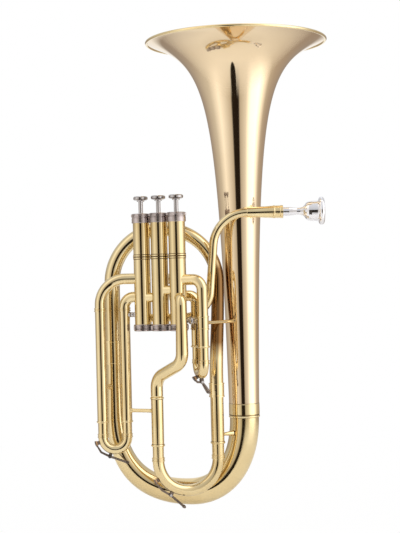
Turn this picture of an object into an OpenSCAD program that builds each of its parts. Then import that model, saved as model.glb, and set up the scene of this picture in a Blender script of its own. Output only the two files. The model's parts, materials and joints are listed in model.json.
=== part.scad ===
// Upright brass horn with three piston valves, four drawn slides, three water keys
// and a removable mouthpiece. Millimetres, +Z up the bell, +X towards the player.

/* [Bell] */
// Diameter of the bell across its rolled rim
bell_d = 216; // [190:1:240]
// Height of the rim above the underside of the bottom bow
rim_z = 551.5; // [520:0.5:600]
// Distance from the rim at which the flare has opened up (larger is a slower flare)
flare_reach = 24; // [16:1:34]
// Exponent of the flare curve
flare_power = 0.8; // [0.7:0.01:0.9]
// Sheet thickness of bell, bows and branches
sheet = 0.8; // [0.6:0.1:1.2]
// Radius of the wire bead that the rim is rolled over
rim_bead = 1.8; // [1.2:0.1:2.4]
// Height of the joint between bell and bottom bow
bell_joint_z = 112; // [106:1:116]
// Outer radius of the bell tail at that joint
bell_tail_r = 17.4; // [16:0.1:18.5]

/* [Bows] */
// X of the left branch, on the far side from the mouthpiece
left_x = -153.5; // [-162:0.5:-150]
// Outer radius of the left branch
left_r = 9; // [8:0.1:9.5]
// Height of the joint between left branch and bottom bow
left_joint_z = 184; // [176:1:190]
// X of the lowest point of the bottom bow
bow_low_x = -64; // [-72:1:-56]
// Height at which the left limb of the bottom bow starts to bend
bow_turn_z = 113; // [104:1:120]
// X of the ascending branch where it meets the arch
right_x = -28.5; // [-30:0.5:-26]
// Y of the ascending branch where it meets the arch
right_y = -14; // [-16:0.5:-13]
// Height of the arch's two feet
arch_z = 266; // [258:1:272]
// Outer radius of the arch's right foot
arch_r = 7.7; // [7:0.1:8.2]
// Length of the ferrules on both branches
branch_ferrule_l = 28; // [20:1:34]

/* [Valves] */
// Distance between neighbouring valve axes
valve_pitch = 23.4; // [23.2:0.1:26]
// Turn of the valve row about the vertical, valve one forward
row_turn = 27; // [22:0.5:30]
// X of the middle valve
row_x = -95.4; // [-98:0.1:-93]
// Y of the middle valve
row_y = -40; // [-43:0.5:-39]
// Height of the casings' lower edge
casing_z = 217.5; // [214:0.5:221]
// Height of the casings between their two edges
casing_h = 118; // [114:0.5:122]
// Outer radius of a valve casing
casing_r = 9.75; // [9.4:0.05:9.9]
// Thickness of the casing wall
casing_wall = 0.8; // [0.6:0.05:1]
// Radius of top and bottom caps
cap_r = 11.2; // [10.8:0.05:11.4]
// Height of a top cap
top_cap_h = 10.9; // [9.5:0.1:12]
// Height of a bottom cap
bottom_cap_h = 8; // [7:0.1:9]
// How far a finger button travels
valve_travel = 13; // [11:0.5:13]
// Length of a piston body
piston_l = 57; // [54:0.5:58]
// Radius of a valve stem
stem_r = 2.6; // [2:0.1:3]
// Radius of a finger button
button_r = 8.4; // [7.5:0.1:9]
// Thickness of a finger button
button_h = 6; // [4.5:0.1:7]
// Height of the spring's lower seat in the casing
spring_z = 291; // [290:0.5:294]

/* [Tubing] */
// Outer radius of the valve tubing and slide sleeves
sleeve_r = 6.3; // [5.8:0.1:6.6]
// Wall of the slide sleeves
sleeve_wall = 0.55; // [0.5:0.05:0.7]
// Wall of the inner slide tubes
inner_wall = 0.5; // [0.4:0.05:0.6]
// Outer radius of the right-hand main sleeve, where the bore has grown
wide_sleeve_r = 7.7; // [7:0.1:8]
// Height of the sleeves' end rings above which all slides are marked
ring_h = 2.2; // [1.5:0.1:3]
// Outer radius of the leadpipe
lead_r = 4.9; // [4.4:0.1:5.1]
// Height of the leadpipe where the mouthpiece goes in
lead_z = 345; // [340:0.5:350]
// Y of the leadpipe where it crosses the bell
lead_y = -36; // [-38:0.5:-35]
// Radius of the leadpipe's upper bend
lead_bend = 40; // [38:0.5:42]

/* [Main tuning slide] */
// X of the left leg
main_left_x = -102; // [-105:0.5:-99]
// Y of the left leg
main_left_y = -40; // [-43:0.5:-38]
// X of the right leg
main_right_x = -32.5; // [-34:0.5:-31]
// Outer radius of the left sleeve
main_left_r = 7.1; // [6.3:0.1:7.4]
// Y of the right leg
main_right_y = -25; // [-26:0.5:-24]
// Height at which the outer sleeves end
main_ring_z = 76; // [70:1:84]
// How far the slide stands drawn out at rest
main_drawn = 13; // [8:0.5:18]
// Height of the joint between right sleeve and ascending branch
main_joint_z = 139; // [134:1:144]

/* [First valve slide] */
// Distance of the front leg from the valve axis
first_front = 31.1; // [29:0.1:32]
// Distance of the rear leg from the valve axis
first_rear = 22.4; // [22:0.1:24]
// Direction of the rear leg, counted from +X
first_rear_dir = 24; // [18:1:28]
// Height at which the sleeves end
first_ring_z = 190; // [184:1:196]
// How far the slide stands drawn out at rest
first_drawn = 14; // [8:0.5:16]
// Length of the first slide's legs inside their sleeves
first_leg_l = 34; // [30:1:38]

/* [Second valve slide] */
// Length of the sleeves from the valve axis
second_sleeve_l = 30; // [26:0.5:34]
// How far the slide stands drawn out at rest
second_drawn = 4; // [2:0.5:8]
// Length of the second slide's legs inside their sleeves
second_leg_l = 13; // [11:1:14]

/* [Third valve slide] */
// X of the left leg
third_left_x = -166.8; // [-168:0.1:-165]
// X of the right leg
third_right_x = -138.4; // [-139.5:0.1:-137.5]
// Y of both legs
third_y = -22; // [-24:0.5:-20]
// Height at which the sleeves end
third_ring_z = 103; // [98:1:110]
// How far the slide stands drawn out at rest
third_drawn = 13; // [8:0.5:18]
// Length of the third slide's legs inside their sleeves
third_leg_l = 60; // [50:1:64]

/* [Mouthpiece] */
// Rim diameter of the mouthpiece
cup_d = 32.8; // [28:0.1:36]
// Distance from the end of the receiver to the rim
cup_reach = 48; // [44:0.5:54]
// X of the receiver's open end
receiver_x = 49.3; // [46:0.1:54]
// Length of the receiver
receiver_l = 42; // [34:0.5:46]

/* [Hidden] */

$fn = 48;
brass = "#d9a441";
nickel = "#b9b4b2";
silver = "#d8d8dc";
eps = 0.01;

// Fits
slide_fit = 0.05;      // radial clearance of an inner slide tube in its sleeve
piston_fit = 0.04;     // radial clearance of a piston in its casing
stem_fit = 0.1;        // radial clearance of a stem in its cap
seat_gap = 0.3;        // air between parts of different bodies that rest together
ferrule_fit = 0.02;    // radial clearance of a ferrule over its tubes
solder = 0.06;         // film between a faceted tube and what it is soldered to

// Valve row
row_dir = [cos(row_turn), -sin(row_turn), 0];
function valve_at(n) = [row_x, row_y, 0] + (2 - n) * valve_pitch * row_dir;
casing_in = casing_r - casing_wall;
piston_r = casing_in - piston_fit;
cap_floor = 1.6;
neck_r = casing_r - 0.3;
neck_h = 6.5;
casing_top_z = casing_z + casing_h;
cap_z = casing_top_z + top_cap_h;
piston_z = casing_z - bottom_cap_h + cap_floor + valve_travel + 0.6;
felt_h = 1.8;
felt_z = casing_top_z + neck_h - felt_h - seat_gap;
plate_h = 2;
plate_z = felt_z - plate_h;
button_z = cap_z + valve_travel + 1.2;

// Port heights on the casings
outlet_z = casing_z + 30.1;
first_high_z = casing_z + 50.9;
first_low_z = casing_z + 32.4;
second_high_z = casing_z + 52.5;
second_low_z = casing_z + 33.5;
third_high_z = casing_z + 53.5;
third_low_z = casing_z + 32.1;
knuckle_12_z = casing_z + 39.3;
knuckle_23_z = casing_z + 31.2;
lead_level = casing_z + 7;
lead_rise = 17.4;
lead_entry_z = lead_level + lead_rise;
port_r = sleeve_r - sleeve_wall;

// ---------------------------------------------------------------- tube helpers

function unit(v) = v / norm(v);
function azimuth(a, b) = atan2(b[1] - a[1], b[0] - a[0]);
function flat_distance(a, b) = norm([b[0] - a[0], b[1] - a[1]]);

// A straight length of tube up the Z axis
module pipe(r, wall, l) {
  difference() {
    cylinder(r = r, h = l);
    translate([0, 0, -1]) cylinder(r = r - wall, h = l + 2);
  }
}

// A bent length of tube that starts at the origin along +Z and turns towards +X
module elbow(r, wall, bend, angle) {
  translate([bend, 0, 0]) rotate([90, 0, 0]) rotate([0, 0, 180 - angle])
    rotate_extrude(angle = angle)
      translate([bend, 0]) difference() {
        circle(r = r);
        circle(r = r - wall);
      }
}

// A run of tube: each step is [straight length, bend radius, bend angle, roll before the bend]
module run(steps, r, wall, i = 0) {
  if (i < len(steps)) {
    s = steps[i];
    if (s[0] > 0) pipe(r, wall, s[0]);
    translate([0, 0, s[0]]) rotate([0, 0, s[3]]) {
      if (s[2] > 0) elbow(r, wall, s[1], s[2]);
      translate([s[1] * (1 - cos(s[2])), 0, s[1] * sin(s[2])]) rotate([0, s[2], 0])
        run(steps, r, wall, i + 1);
    }
  }
}

// A band round a tube, with a raised bead at each end
module ferrule(r, l, wall = 0.6, bead = 0.35, bead_w = 1.4) {
  rotate_extrude() polygon([
    [r, 0], [r + wall + bead, 0], [r + wall + bead, bead_w], [r + wall, bead_w + 0.3],
    [r + wall, l - bead_w - 0.3], [r + wall + bead, l - bead_w], [r + wall + bead, l], [r, l]
  ]);
}

// A round ring that stiffens the mouth of a slide sleeve
module end_ring(r, h = ring_h) {
  rotate_extrude() polygon([
    [r - 0.3, 0], [r + 0.5, 0], [r + 1, 0.4 * h], [r + 1, 0.6 * h], [r + 0.5, h], [r - 0.3, h]
  ]);
}

// A rod between two points, with a soldering foot at each end
module stay(a, b, r, foot_r, foot_h = 1) {
  l = norm(b - a);
  translate(a) rotate([0, acos((b[2] - a[2]) / l), atan2(b[1] - a[1], b[0] - a[0])]) {
    cylinder(r = r, h = l);
    cylinder(r1 = foot_r, r2 = r, h = foot_h + 0.8);
    translate([0, 0, l - foot_h - 0.8]) cylinder(r1 = r, r2 = foot_r, h = foot_h + 0.8);
  }
}

// An upright cylinder that stands for a leg or casing when something is cut to fit it
module leg_space(x, y, r) {
  translate([x, y, -50]) cylinder(r = r, h = 700);
}

// Skin of a hollow swept tube from its rings: n_rings rings of n_sides points, outside then inside
function skin(n_rings, n_sides) = let (inner = n_rings * n_sides) concat(
  [for (i = [0 : n_rings - 2], j = [0 : n_sides - 1], h = [0, 1])
    let (a = i * n_sides + j, b = i * n_sides + (j + 1) % n_sides)
    h == 0 ? [a, b + n_sides, b] : [a, a + n_sides, b + n_sides]],
  [for (i = [0 : n_rings - 2], j = [0 : n_sides - 1], h = [0, 1])
    let (a = inner + i * n_sides + j, b = inner + i * n_sides + (j + 1) % n_sides)
    h == 0 ? [a, b, b + n_sides] : [a, b + n_sides, a + n_sides]],
  [for (j = [0 : n_sides - 1], h = [0, 1])
    let (k = (j + 1) % n_sides)
    h == 0 ? [j, k, inner + k] : [j, inner + k, inner + j]],
  [for (j = [0 : n_sides - 1], h = [0, 1])
    let (k = (j + 1) % n_sides, o = (n_rings - 1) * n_sides)
    h == 0 ? [o + j, inner + o + k, o + k] : [o + j, inner + o + j, inner + o + k]]
);

// Rings of points square to a path; the first point's side direction is carried along it
function heading(path, i) = unit(path[min(i + 1, len(path) - 1)] - path[max(i - 1, 0)]);
function square_to(v, t) = unit(v - (v * t) * t);
function sides_along(path, v, i = 0, done = []) = i == len(path) ? done
  : let (n = square_to(v, heading(path, i))) sides_along(path, n, i + 1, concat(done, [n]));
function rings(path, radii, n_sides, side) = let (normals = sides_along(path, side)) [
  for (i = [0 : len(path) - 1])
    let (n = normals[i], b = cross(heading(path, i), n))
    for (j = [0 : n_sides - 1])
      path[i] + radii[i] * (cos(360 * j / n_sides) * n + sin(360 * j / n_sides) * b)
];

// The middle line of a run of tube: steps are [straight length, bend radius, bend angle, roll],
// f holds the three axes at its start and the run sets off along the third
function rolled(f, a) = [f[0] * cos(a) + f[1] * sin(a), f[1] * cos(a) - f[0] * sin(a), f[2]];
function pitched(f, a) = [f[0] * cos(a) - f[2] * sin(a), f[1], f[2] * cos(a) + f[0] * sin(a)];
arc_step = 11.5;
function trace(steps, p, f, i = 0) = i == len(steps) ? []
  : let (
      s = steps[i],
      q = p + s[0] * f[2],
      g = rolled(f, s[3]),
      n = ceil(s[2] / arc_step),
      arc = [for (k = [1 : 1 : n]) let (a = s[2] * k / n)
        q + s[1] * (1 - cos(a)) * g[0] + s[1] * sin(a) * g[2]],
      e = n > 0 ? arc[n - 1] : q
    )
    concat(s[0] > 0 ? [q] : [], arc, trace(steps, e, pitched(g, s[2]), i + 1));

// A hollow tube of changing radius along a path
module sweep(path, radii, wall, n_sides = 24, side = [-1, 0, 0]) {
  inner = [for (r = radii) r - wall];
  polyhedron(
    points = concat(rings(path, radii, n_sides, side), rings(path, inner, n_sides, side)),
    faces = skin(len(path), n_sides),
    convexity = 6
  );
}

function bezier(p, t) =
  pow(1 - t, 3) * p[0] + 3 * t * pow(1 - t, 2) * p[1] + 3 * t * t * (1 - t) * p[2] + pow(t, 3) * p[3];

// ---------------------------------------------------------------- bell and bows

// The flare closes down to the tail's radius 10 above the joint
flare_share = pow(flare_reach / (rim_z - bell_joint_z - 10 + flare_reach), flare_power);
flare_core = (bell_tail_r - bell_d / 2 * flare_share) / (1 - flare_share);
function flare_r(d) =
  flare_core + (bell_d / 2 - flare_core) * pow(flare_reach / (d + flare_reach), flare_power);
function bell_r(z) = z < bell_joint_z + 10 ? bell_tail_r : max(bell_tail_r, flare_r(rim_z - z));

function bell_slope(z) = (bell_r(z + 0.05) - bell_r(z - 0.05)) / 0.1;
function bell_inner(z) = let (k = bell_slope(z), n = sqrt(1 + k * k)) [bell_r(z) - sheet / n, z + sheet * k / n];

bell_steps = 34;
bell_top_z = rim_z - 0.45 * rim_bead;
bell_l = bell_top_z - bell_joint_z - 10;
bell_zs = [for (i = [bell_steps : -1 : 0]) bell_top_z - bell_l * pow(i / bell_steps, 1.8)];

module bell() {
  outer = [for (z = bell_zs) [bell_r(z) - 0.001, z]];
  inner = [for (i = [len(bell_zs) - 1 : -1 : 0]) bell_inner(bell_zs[i])];
  color(brass) difference() {
    union() {
      rotate_extrude() polygon(concat(
        [[bell_tail_r - sheet, bell_joint_z], [bell_tail_r, bell_joint_z], [bell_tail_r, bell_joint_z + 9]],
        outer, inner));
      translate([0, 0, rim_z - 0.85 * rim_bead]) rotate_extrude()
        translate([bell_d / 2 - rim_bead, 0]) circle(r = rim_bead);
    }
    translate([0, 0, rim_z]) cylinder(r = bell_d, h = 10);
  }
}

module bell_ferrule() {
  r = bell_tail_r + ferrule_fit;
  color(brass) translate([0, 0, bell_joint_z - 8]) rotate_extrude() polygon([
    [r, 0], [r + 1, 0], [r + 1.2, 0.7], [r + 1, 1.8], [r + 0.5, 2.2], [r + 0.5, 3.2],
    [r + 0.9, 3.6], [r + 0.9, 15.4], [r + 0.6, 16.2], [r, 16.2]
  ]);
}

// The bottom bow: down the left limb, round the bottom and up to the bell
bow_low_r = 16.8;
bow_left = [[left_x, 0, bow_turn_z], [left_x - 0.5, 0, bow_turn_z * 0.4],
            [bow_low_x * 0.4 + left_x * 0.6, 0, bow_low_r], [bow_low_x, 0, bow_low_r]];
bow_right = [[bow_low_x, 0, bow_low_r], [bow_low_x * 0.39, 0, bow_low_r],
             [0, 0, bell_joint_z - 61], [0, 0, bell_joint_z - 9]];
bow_path = concat(
  [[left_x, 0, left_joint_z], [left_x, 0, left_joint_z - branch_ferrule_l / 2 - 1],
   [left_x, 0, (left_joint_z + bow_turn_z) / 2 - 8]],
  [for (i = [0 : 11]) bezier(bow_left, i / 12)],
  [for (i = [0 : 10]) bezier(bow_right, i / 10)],
  [[0, 0, bell_joint_z]]
);
bow_n = len(bow_path) - 1;
function bow_r(i) = i < 2 ? left_r : i == bow_n ? bell_tail_r
  : left_r + (bell_tail_r - left_r) * (1 - pow(1 - (i - 1) / (bow_n - 2), 1.75));

module bottom_bow() {
  color(brass) sweep(bow_path, [for (i = [0 : bow_n]) bow_r(i)], sheet);
}

module left_ferrule() {
  color(brass) translate([left_x, 0, left_joint_z - branch_ferrule_l / 2])
    ferrule(left_r + ferrule_fit, branch_ferrule_l);
}

// The top bow: up the ascending branch, over the arch and down to the left ferrule
branch_foot_r = wide_sleeve_r + 0.3;
arch_mid = [(left_x + right_x) / 2, right_y / 2, arch_z];
arch_half = [(right_x - left_x) / 2, right_y / 2, 0];
arch_lift = norm(arch_half);
branch_foot = [main_right_x, main_right_y, main_joint_z];
branch_head = [right_x, right_y, arch_z];
branch_curve = [branch_foot + [0, 0, 10], branch_foot + [0, 0, 50],
                branch_head - [0, 0, 50], branch_head];
top_path = concat(
  [branch_foot],
  [for (i = [0 : 5]) bezier(branch_curve, i / 6)],
  [for (i = [0 : 16]) arch_mid + arch_half * cos(180 * i / 16) + [0, 0, arch_lift * sin(180 * i / 16)]],
  [[left_x, 0, left_joint_z + branch_ferrule_l / 2 + 1], [left_x, 0, left_joint_z]]
);
top_n = len(top_path) - 1;
function top_r(i) = i < 2 ? branch_foot_r
  : i < 7 ? branch_foot_r + (arch_r - 0.2 - branch_foot_r) * (i - 1) / 5
  : i < 24 ? arch_r - 0.1 + (left_r + 0.2 - arch_r) * (i - 7) / 16
  : left_r;

module top_bow() {
  color(brass) sweep(top_path, [for (i = [0 : top_n]) top_r(i)], sheet);
}

module branch_ferrule() {
  color(brass) translate([main_right_x, main_right_y, main_joint_z - 8.5])
    ferrule(branch_foot_r + ferrule_fit, 16.5, 0.7, 0.4, 1.6);
}

// ---------------------------------------------------------------- main tuning slide

main_rest = main_ring_z - main_drawn;
main_wide_in = wide_sleeve_r - sleeve_wall;
main_in = main_left_r - sleeve_wall;
main_left = [main_left_x, main_left_y, 0];
main_right = [main_right_x, main_right_y, 0];
main_gap = flat_distance(main_left, main_right);
main_turn = azimuth(main_left, main_right);
crook_ferrule_h = 4.5;

module main_sleeve_right() {
  color(brass) translate([main_right_x, main_right_y, main_ring_z]) {
    pipe(wide_sleeve_r, sleeve_wall, main_joint_z - main_ring_z);
    end_ring(wide_sleeve_r);
    translate([0, 0, main_joint_z - main_ring_z - 8.5]) pipe(branch_foot_r, 0.6, 8.5);
  }
}

jog_low_z = main_ring_z + 57;

module main_sleeve_left() {
  color(brass) translate([main_left_x, main_left_y, main_ring_z]) {
    pipe(main_left_r, sleeve_wall, jog_low_z - main_ring_z);
    end_ring(main_left_r);
    translate([0, 0, jog_low_z - main_ring_z - ring_h]) end_ring(main_left_r);
  }
}

// Tube from the front of valve one, forward, down and across to the left sleeve
outlet_reach = 18.9;
outlet_dir = -80;
outlet_leg = valve_at(1) + outlet_reach * [cos(outlet_dir), sin(outlet_dir), 0];
jog_flat = flat_distance(outlet_leg, main_left);
jog_turn = azimuth(outlet_leg, main_left);
jog_bend = 17;
jog_angle = 66;
jog_rise = 11;
jog_slope = (jog_flat - 2 * jog_bend * (1 - cos(jog_angle))) / sin(jog_angle);
jog_top = jog_low_z + jog_rise + 2 * jog_bend * sin(jog_angle) + jog_slope * cos(jog_angle);
outlet_bend = 8;

outlet_start = [main_left_x, main_left_y, jog_low_z];
outlet_flat = [cos(jog_turn + 180), sin(jog_turn + 180), 0];
outlet_path = concat([outlet_start], trace([
    [jog_rise, jog_bend, jog_angle, 0],
    [jog_slope, jog_bend, jog_angle, 180],
    [outlet_z - outlet_bend - jog_top, outlet_bend, 90, outlet_dir - jog_turn + 180],
    [outlet_reach - outlet_bend - casing_r - solder, 0, 0, 0]
  ], outlet_start, [outlet_flat, cross([0, 0, 1], outlet_flat), [0, 0, 1]]));

// The outlet narrows from the left sleeve up to its elbow at the casing
function outlet_r(z) = sleeve_r + (main_left_r - sleeve_r)
  * min(1, max(0, (outlet_z - outlet_bend - 4 - z) / 12));

module valve_outlet() {
  color(brass) {
    sweep(outlet_path, [for (p = outlet_path) outlet_r(p[2])], sleeve_wall, 20, outlet_flat);
    port_collar(1, outlet_dir, outlet_z, sleeve_r);
  }
}

// The collar that seals a tube to the casing of valve n
module port_collar(n, dir, z, r) {
  difference() {
    translate(valve_at(n) + [0, 0, z]) rotate([0, 0, dir]) rotate([0, 90, 0]) difference() {
      cylinder(r = r + 0.9, h = casing_r + 1.6);
      translate([0, 0, -1]) cylinder(r = r + ferrule_fit, h = casing_r + 5);
    }
    translate(valve_at(n)) cylinder(r = casing_r, h = 400);
  }
}

// A slide: legs up from the springing at 0 and at gap along X, the U below
crook_band_h = 4.5;
module crook(gap, r_a, r_b, bow_r, leg_l) {
  core = min(r_a, r_b) - inner_wall;
  pipe(r_a, inner_wall, leg_l);
  translate([gap, 0, 0]) pipe(r_b, inner_wall, leg_l);
  rotate([180, 0, 0]) elbow(bow_r, bow_r - core, gap / 2, 180);
  crook_band(r_a, bow_r, core);
  translate([gap, 0, 0]) crook_band(r_b, bow_r, core);
}

// The band that joins a slide tube to its U
module crook_band(r, bow_r, core) {
  top = max(r, bow_r) + 0.75;
  rotate_extrude() polygon([
    [core, 0], [top, 0], [top, 1], [top - 0.35, 1.3], [top - 0.35, crook_band_h - 1.3],
    [top, crook_band_h - 1], [top, crook_band_h - 0.2], [top - 0.2, crook_band_h],
    [r - inner_wall / 2, crook_band_h], [r - inner_wall / 2, 0.8], [core, 0.6]
  ]);
}

// A solid U that stands for a crook when something is cut to fit it
module crook_space(gap, bow_r) {
  rotate([180, 0, 0]) translate([gap / 2, 0, 0]) rotate([90, 0, 0])
    rotate_extrude(angle = 180) translate([gap / 2, 0]) circle(r = bow_r);
}

main_u = main_rest - crook_band_h;
main_leg_l = crook_band_h + main_drawn + 40;
main_tube_r = sleeve_r - sleeve_wall - slide_fit;
main_left_tube_r = main_in - slide_fit;
main_wide_r = wide_sleeve_r - sleeve_wall - slide_fit;
main_bow_r = main_left_tube_r + 0.3;

module main_crook() {
  color(brass) at_main_u() crook(main_gap, main_left_tube_r, main_wide_r, main_bow_r, main_leg_l);
}

module at_main_u() {
  translate([main_left_x, main_left_y, main_u]) rotate([0, 0, main_turn]) children();
}

// ---------------------------------------------------------------- leadpipe and receiver

lead_tilt = 5;
lead_angle = 85.2;
lead_second = 31.4;
lead_socket = 8;
lead_start_x = receiver_x - receiver_l;
lead_drop = (lead_z - lead_level) / cos(lead_tilt);
lead_fall = (lead_drop - (lead_bend + lead_second) * (1 - cos(lead_angle))) / sin(lead_angle);
lead_run_x = lead_start_x - (lead_bend + lead_second) * sin(lead_angle) - lead_fall * cos(lead_angle);
lead_run_y = lead_y + (lead_z - lead_level) * tan(lead_tilt);
entry_reach = 19.6;
entry_dir = 104;
entry_bend = lead_rise / 2;
riser = valve_at(3) + entry_reach * [cos(entry_dir), sin(entry_dir), 0];
veer_bend = 12;
veer_x = lead_run_x - riser[0];
veer_y = riser[1] - lead_run_y;
veer_l = sqrt(veer_x * veer_x + pow(veer_y - veer_bend, 2) - veer_bend * veer_bend);
veer = atan2(veer_y - veer_bend, veer_x) + atan2(veer_bend, veer_l);

lead_from = [lead_start_x + lead_socket, lead_y, lead_z];
lead_up = [0, -sin(lead_tilt), cos(lead_tilt)];
lead_path = concat([lead_from], trace([
    [lead_socket, lead_bend, lead_angle, 180],
    [lead_fall, lead_second, lead_angle, 180],
    [0, veer_bend, veer, 90 + lead_tilt],
    [veer_l - entry_bend, entry_bend, 90, -90],
    [0, entry_bend, 90, azimuth(riser, valve_at(3)) - (180 - veer) + 180],
    [entry_reach - entry_bend - casing_r - solder, 0, 0, 0]
  ], lead_from, [lead_up, [0, cos(lead_tilt), sin(lead_tilt)], [-1, 0, 0]]));

module leadpipe() {
  color(brass) {
    sweep(lead_path, [for (p = lead_path) lead_r], sleeve_wall, 16, lead_up);
    port_collar(3, entry_dir, lead_entry_z, lead_r);
  }
}

receiver_r = 7.25;
collar_l = 11.3;
shank_r = 5.1;
shank_l = 20;
shank_taper = 0.5;
shank_fit = 0.05;

module receiver_solid() {
  l = receiver_l;
  translate([lead_start_x, lead_y, lead_z]) rotate([0, 90, 0]) rotate_extrude() polygon([
    [0, 0], [lead_r + 0.5, 0], [lead_r + 0.7, 0.5], [receiver_r, l - collar_l - 0.4],
    [receiver_r + 0.45, l - collar_l], [receiver_r + 0.45, l - collar_l + 1.2],
    [receiver_r + 0.1, l - collar_l + 1.8], [receiver_r + 0.1, l - 3.4], [receiver_r + 0.45, l - 2.8],
    [receiver_r + 0.45, l - 0.5], [receiver_r, l], [0, l]
  ]);
}

module mouthpiece_receiver() {
  l = receiver_l;
  fit = shank_fit;
  color(brass) difference() {
    receiver_solid();
    translate([lead_start_x, lead_y, lead_z]) rotate([0, 90, 0]) rotate_extrude() polygon([
      [0, -1], [lead_r + ferrule_fit, -1], [lead_r + ferrule_fit, lead_socket],
      [lead_r - sleeve_wall, lead_socket], [shank_r - shank_taper - 0.4, l - shank_l - 0.5],
      [shank_r - shank_taper + fit, l - shank_l - 0.5], [shank_r - shank_taper + fit, l - shank_l],
      [shank_r + fit, l], [shank_r + fit, l + 1], [0, l + 1]
    ]);
  }
}

// ---------------------------------------------------------------- valves

// A round passage between two points
module passage(a, b, r) {
  l = norm(b - a);
  translate(a) rotate([0, acos((b[2] - a[2]) / l), atan2(b[1] - a[1], b[0] - a[0])])
    cylinder(r = r, h = l);
}

// Directions and heights of the four ports of each valve: in, out, loop out, loop back
knuckle_shift = 1.6;
knuckle_r = 5.5;
row_front = [-sin(row_turn), -cos(row_turn), 0];
second_dir = 90 - row_turn;
first_front_at = valve_at(1) + first_front * row_dir;
first_rear_at = valve_at(1) + first_rear * [cos(first_rear_dir), sin(first_rear_dir), 0];
third_left_at = [third_left_x, third_y, 0];
third_right_at = [third_right_x, third_y, 0];
function side_point(n, to, z) = valve_at(n) + (casing_r + 2) * unit([to[0], to[1], 0]) + [0, 0, z];
function port_points(n) = n == 1 ? [
    side_point(1, -row_dir, knuckle_12_z), side_point(1, outlet_leg - valve_at(1), outlet_z),
    side_point(1, row_dir, first_high_z), side_point(1, first_rear_at - valve_at(1), first_low_z)]
  : n == 2 ? [
    side_point(2, -row_dir, knuckle_23_z), side_point(2, row_dir, knuckle_12_z),
    side_point(2, -row_front, second_high_z), side_point(2, -row_front, second_low_z)]
  : [
    side_point(3, riser - valve_at(3), lead_entry_z), side_point(3, row_dir, knuckle_23_z),
    side_point(3, third_left_at - valve_at(3), third_high_z),
    side_point(3, third_right_at - valve_at(3), third_low_z)];

module casing(n) {
  z0 = casing_z;
  z1 = casing_top_z;
  ledge = stem_r + 1.6;
  color(brass) difference() {
    translate(valve_at(n)) rotate_extrude() polygon([
      [casing_in, z0 - 5.5], [neck_r, z0 - 5.5], [neck_r, z0], [casing_r, z0],
      [casing_r, 293.4 - 217.5 + z0], [casing_r + 0.5, 293.8 - 217.5 + z0],
      [casing_r + 0.5, 295.4 - 217.5 + z0], [casing_r + 0.2, 295.7 - 217.5 + z0],
      [casing_r + 0.2, 296.3 - 217.5 + z0], [casing_r + 0.5, 296.6 - 217.5 + z0],
      [casing_r + 0.5, 298.2 - 217.5 + z0], [casing_r, 298.6 - 217.5 + z0],
      [casing_r, z1], [neck_r, z1], [neck_r, z1 + neck_h], [casing_in, z1 + neck_h],
      [casing_in, spring_z], [ledge, spring_z], [ledge, spring_z - 1.6], [casing_in, spring_z - 1.6]
    ]);
    for (p = port_points(n)) passage([valve_at(n)[0], valve_at(n)[1], p[2]], p, port_r - 0.4);
  }
}

module top_cap(n) {
  r = cap_r;
  h = top_cap_h;
  hole = stem_r + stem_fit;
  color(nickel) translate(valve_at(n) + [0, 0, casing_top_z]) rotate_extrude() polygon([
    [neck_r + ferrule_fit, 0], [r - 0.5, 0], [r - 0.3, 0.4], [r - 0.3, h - 5.2], [r - 0.9, h - 4.9],
    [r - 0.9, h - 4.3], [r, h - 4], [r, h - 0.7], [r - 0.7, h], [r - 2.4, h], [r - 3.4, h - 0.8],
    [hole + 2, h - 1.1], [hole + 1.6, h - 0.5], [hole, h - 0.5], [hole, neck_h],
    [neck_r + ferrule_fit, neck_h]
  ]);
}

module bottom_cap(n) {
  r = cap_r;
  h = bottom_cap_h;
  color(nickel) translate(valve_at(n) + [0, 0, casing_z - h]) rotate_extrude() polygon([
    [2, 0.5], [3.4, 0.5], [4.4, 0], [r - 1.2, 0], [r - 0.4, 0.5], [r - 0.4, 2.2], [r - 1, 2.5],
    [r - 1, 3.1], [r, 3.4], [r, h - 0.6], [r - 0.6, h], [neck_r + ferrule_fit, h],
    [neck_r + ferrule_fit, h - 5.5], [casing_in, h - 5.5], [casing_in, cap_floor], [2, cap_floor]
  ]);
}

// Short tubes that pass the air from valve to valve
module valve_knuckles() {
  color(brass) {
    knuckle(3, knuckle_23_z);
    knuckle(2, knuckle_12_z);
  }
}

module knuckle(n, z) {
  a = valve_at(n) + knuckle_shift * row_front + [0, 0, z];
  difference() {
    translate(a) rotate([0, 90, -row_turn]) pipe(knuckle_r, 0.9, valve_pitch);
    translate(valve_at(n)) cylinder(r = casing_r, h = 400);
    translate(valve_at(n - 1)) cylinder(r = casing_r, h = 400);
  }
}

// A leg of valve tubing: up from the end ring, over and into the casing of valve n
module valve_leg(n, at, ring_z, z, bend) {
  difference() {
    translate([at[0], at[1], ring_z]) rotate([0, 0, azimuth(at, valve_at(n))]) {
      run([[z - bend - ring_z, bend, 90, 0], [flat_distance(at, valve_at(n)) - bend, 0, 0, 0]],
        sleeve_r, sleeve_wall);
      end_ring(sleeve_r);
    }
    translate(valve_at(n)) cylinder(r = casing_r, h = 400);
  }
}

first_high_bend = 12;
first_low_bend = 9;
third_high_bend = 30;
third_low_bend = 12;

module first_slide_sleeves() {
  color(brass) {
    valve_leg(1, first_front_at, first_ring_z, first_high_z, first_high_bend);
    valve_leg(1, first_rear_at, first_ring_z, first_low_z, first_low_bend);
    translate([first_front_at[0], first_front_at[1], casing_z - 7]) ferrule(sleeve_r - 0.1, 16);
    translate([first_rear_at[0], first_rear_at[1], casing_z - 7]) ferrule(sleeve_r - 0.1, 16);
  }
}

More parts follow.
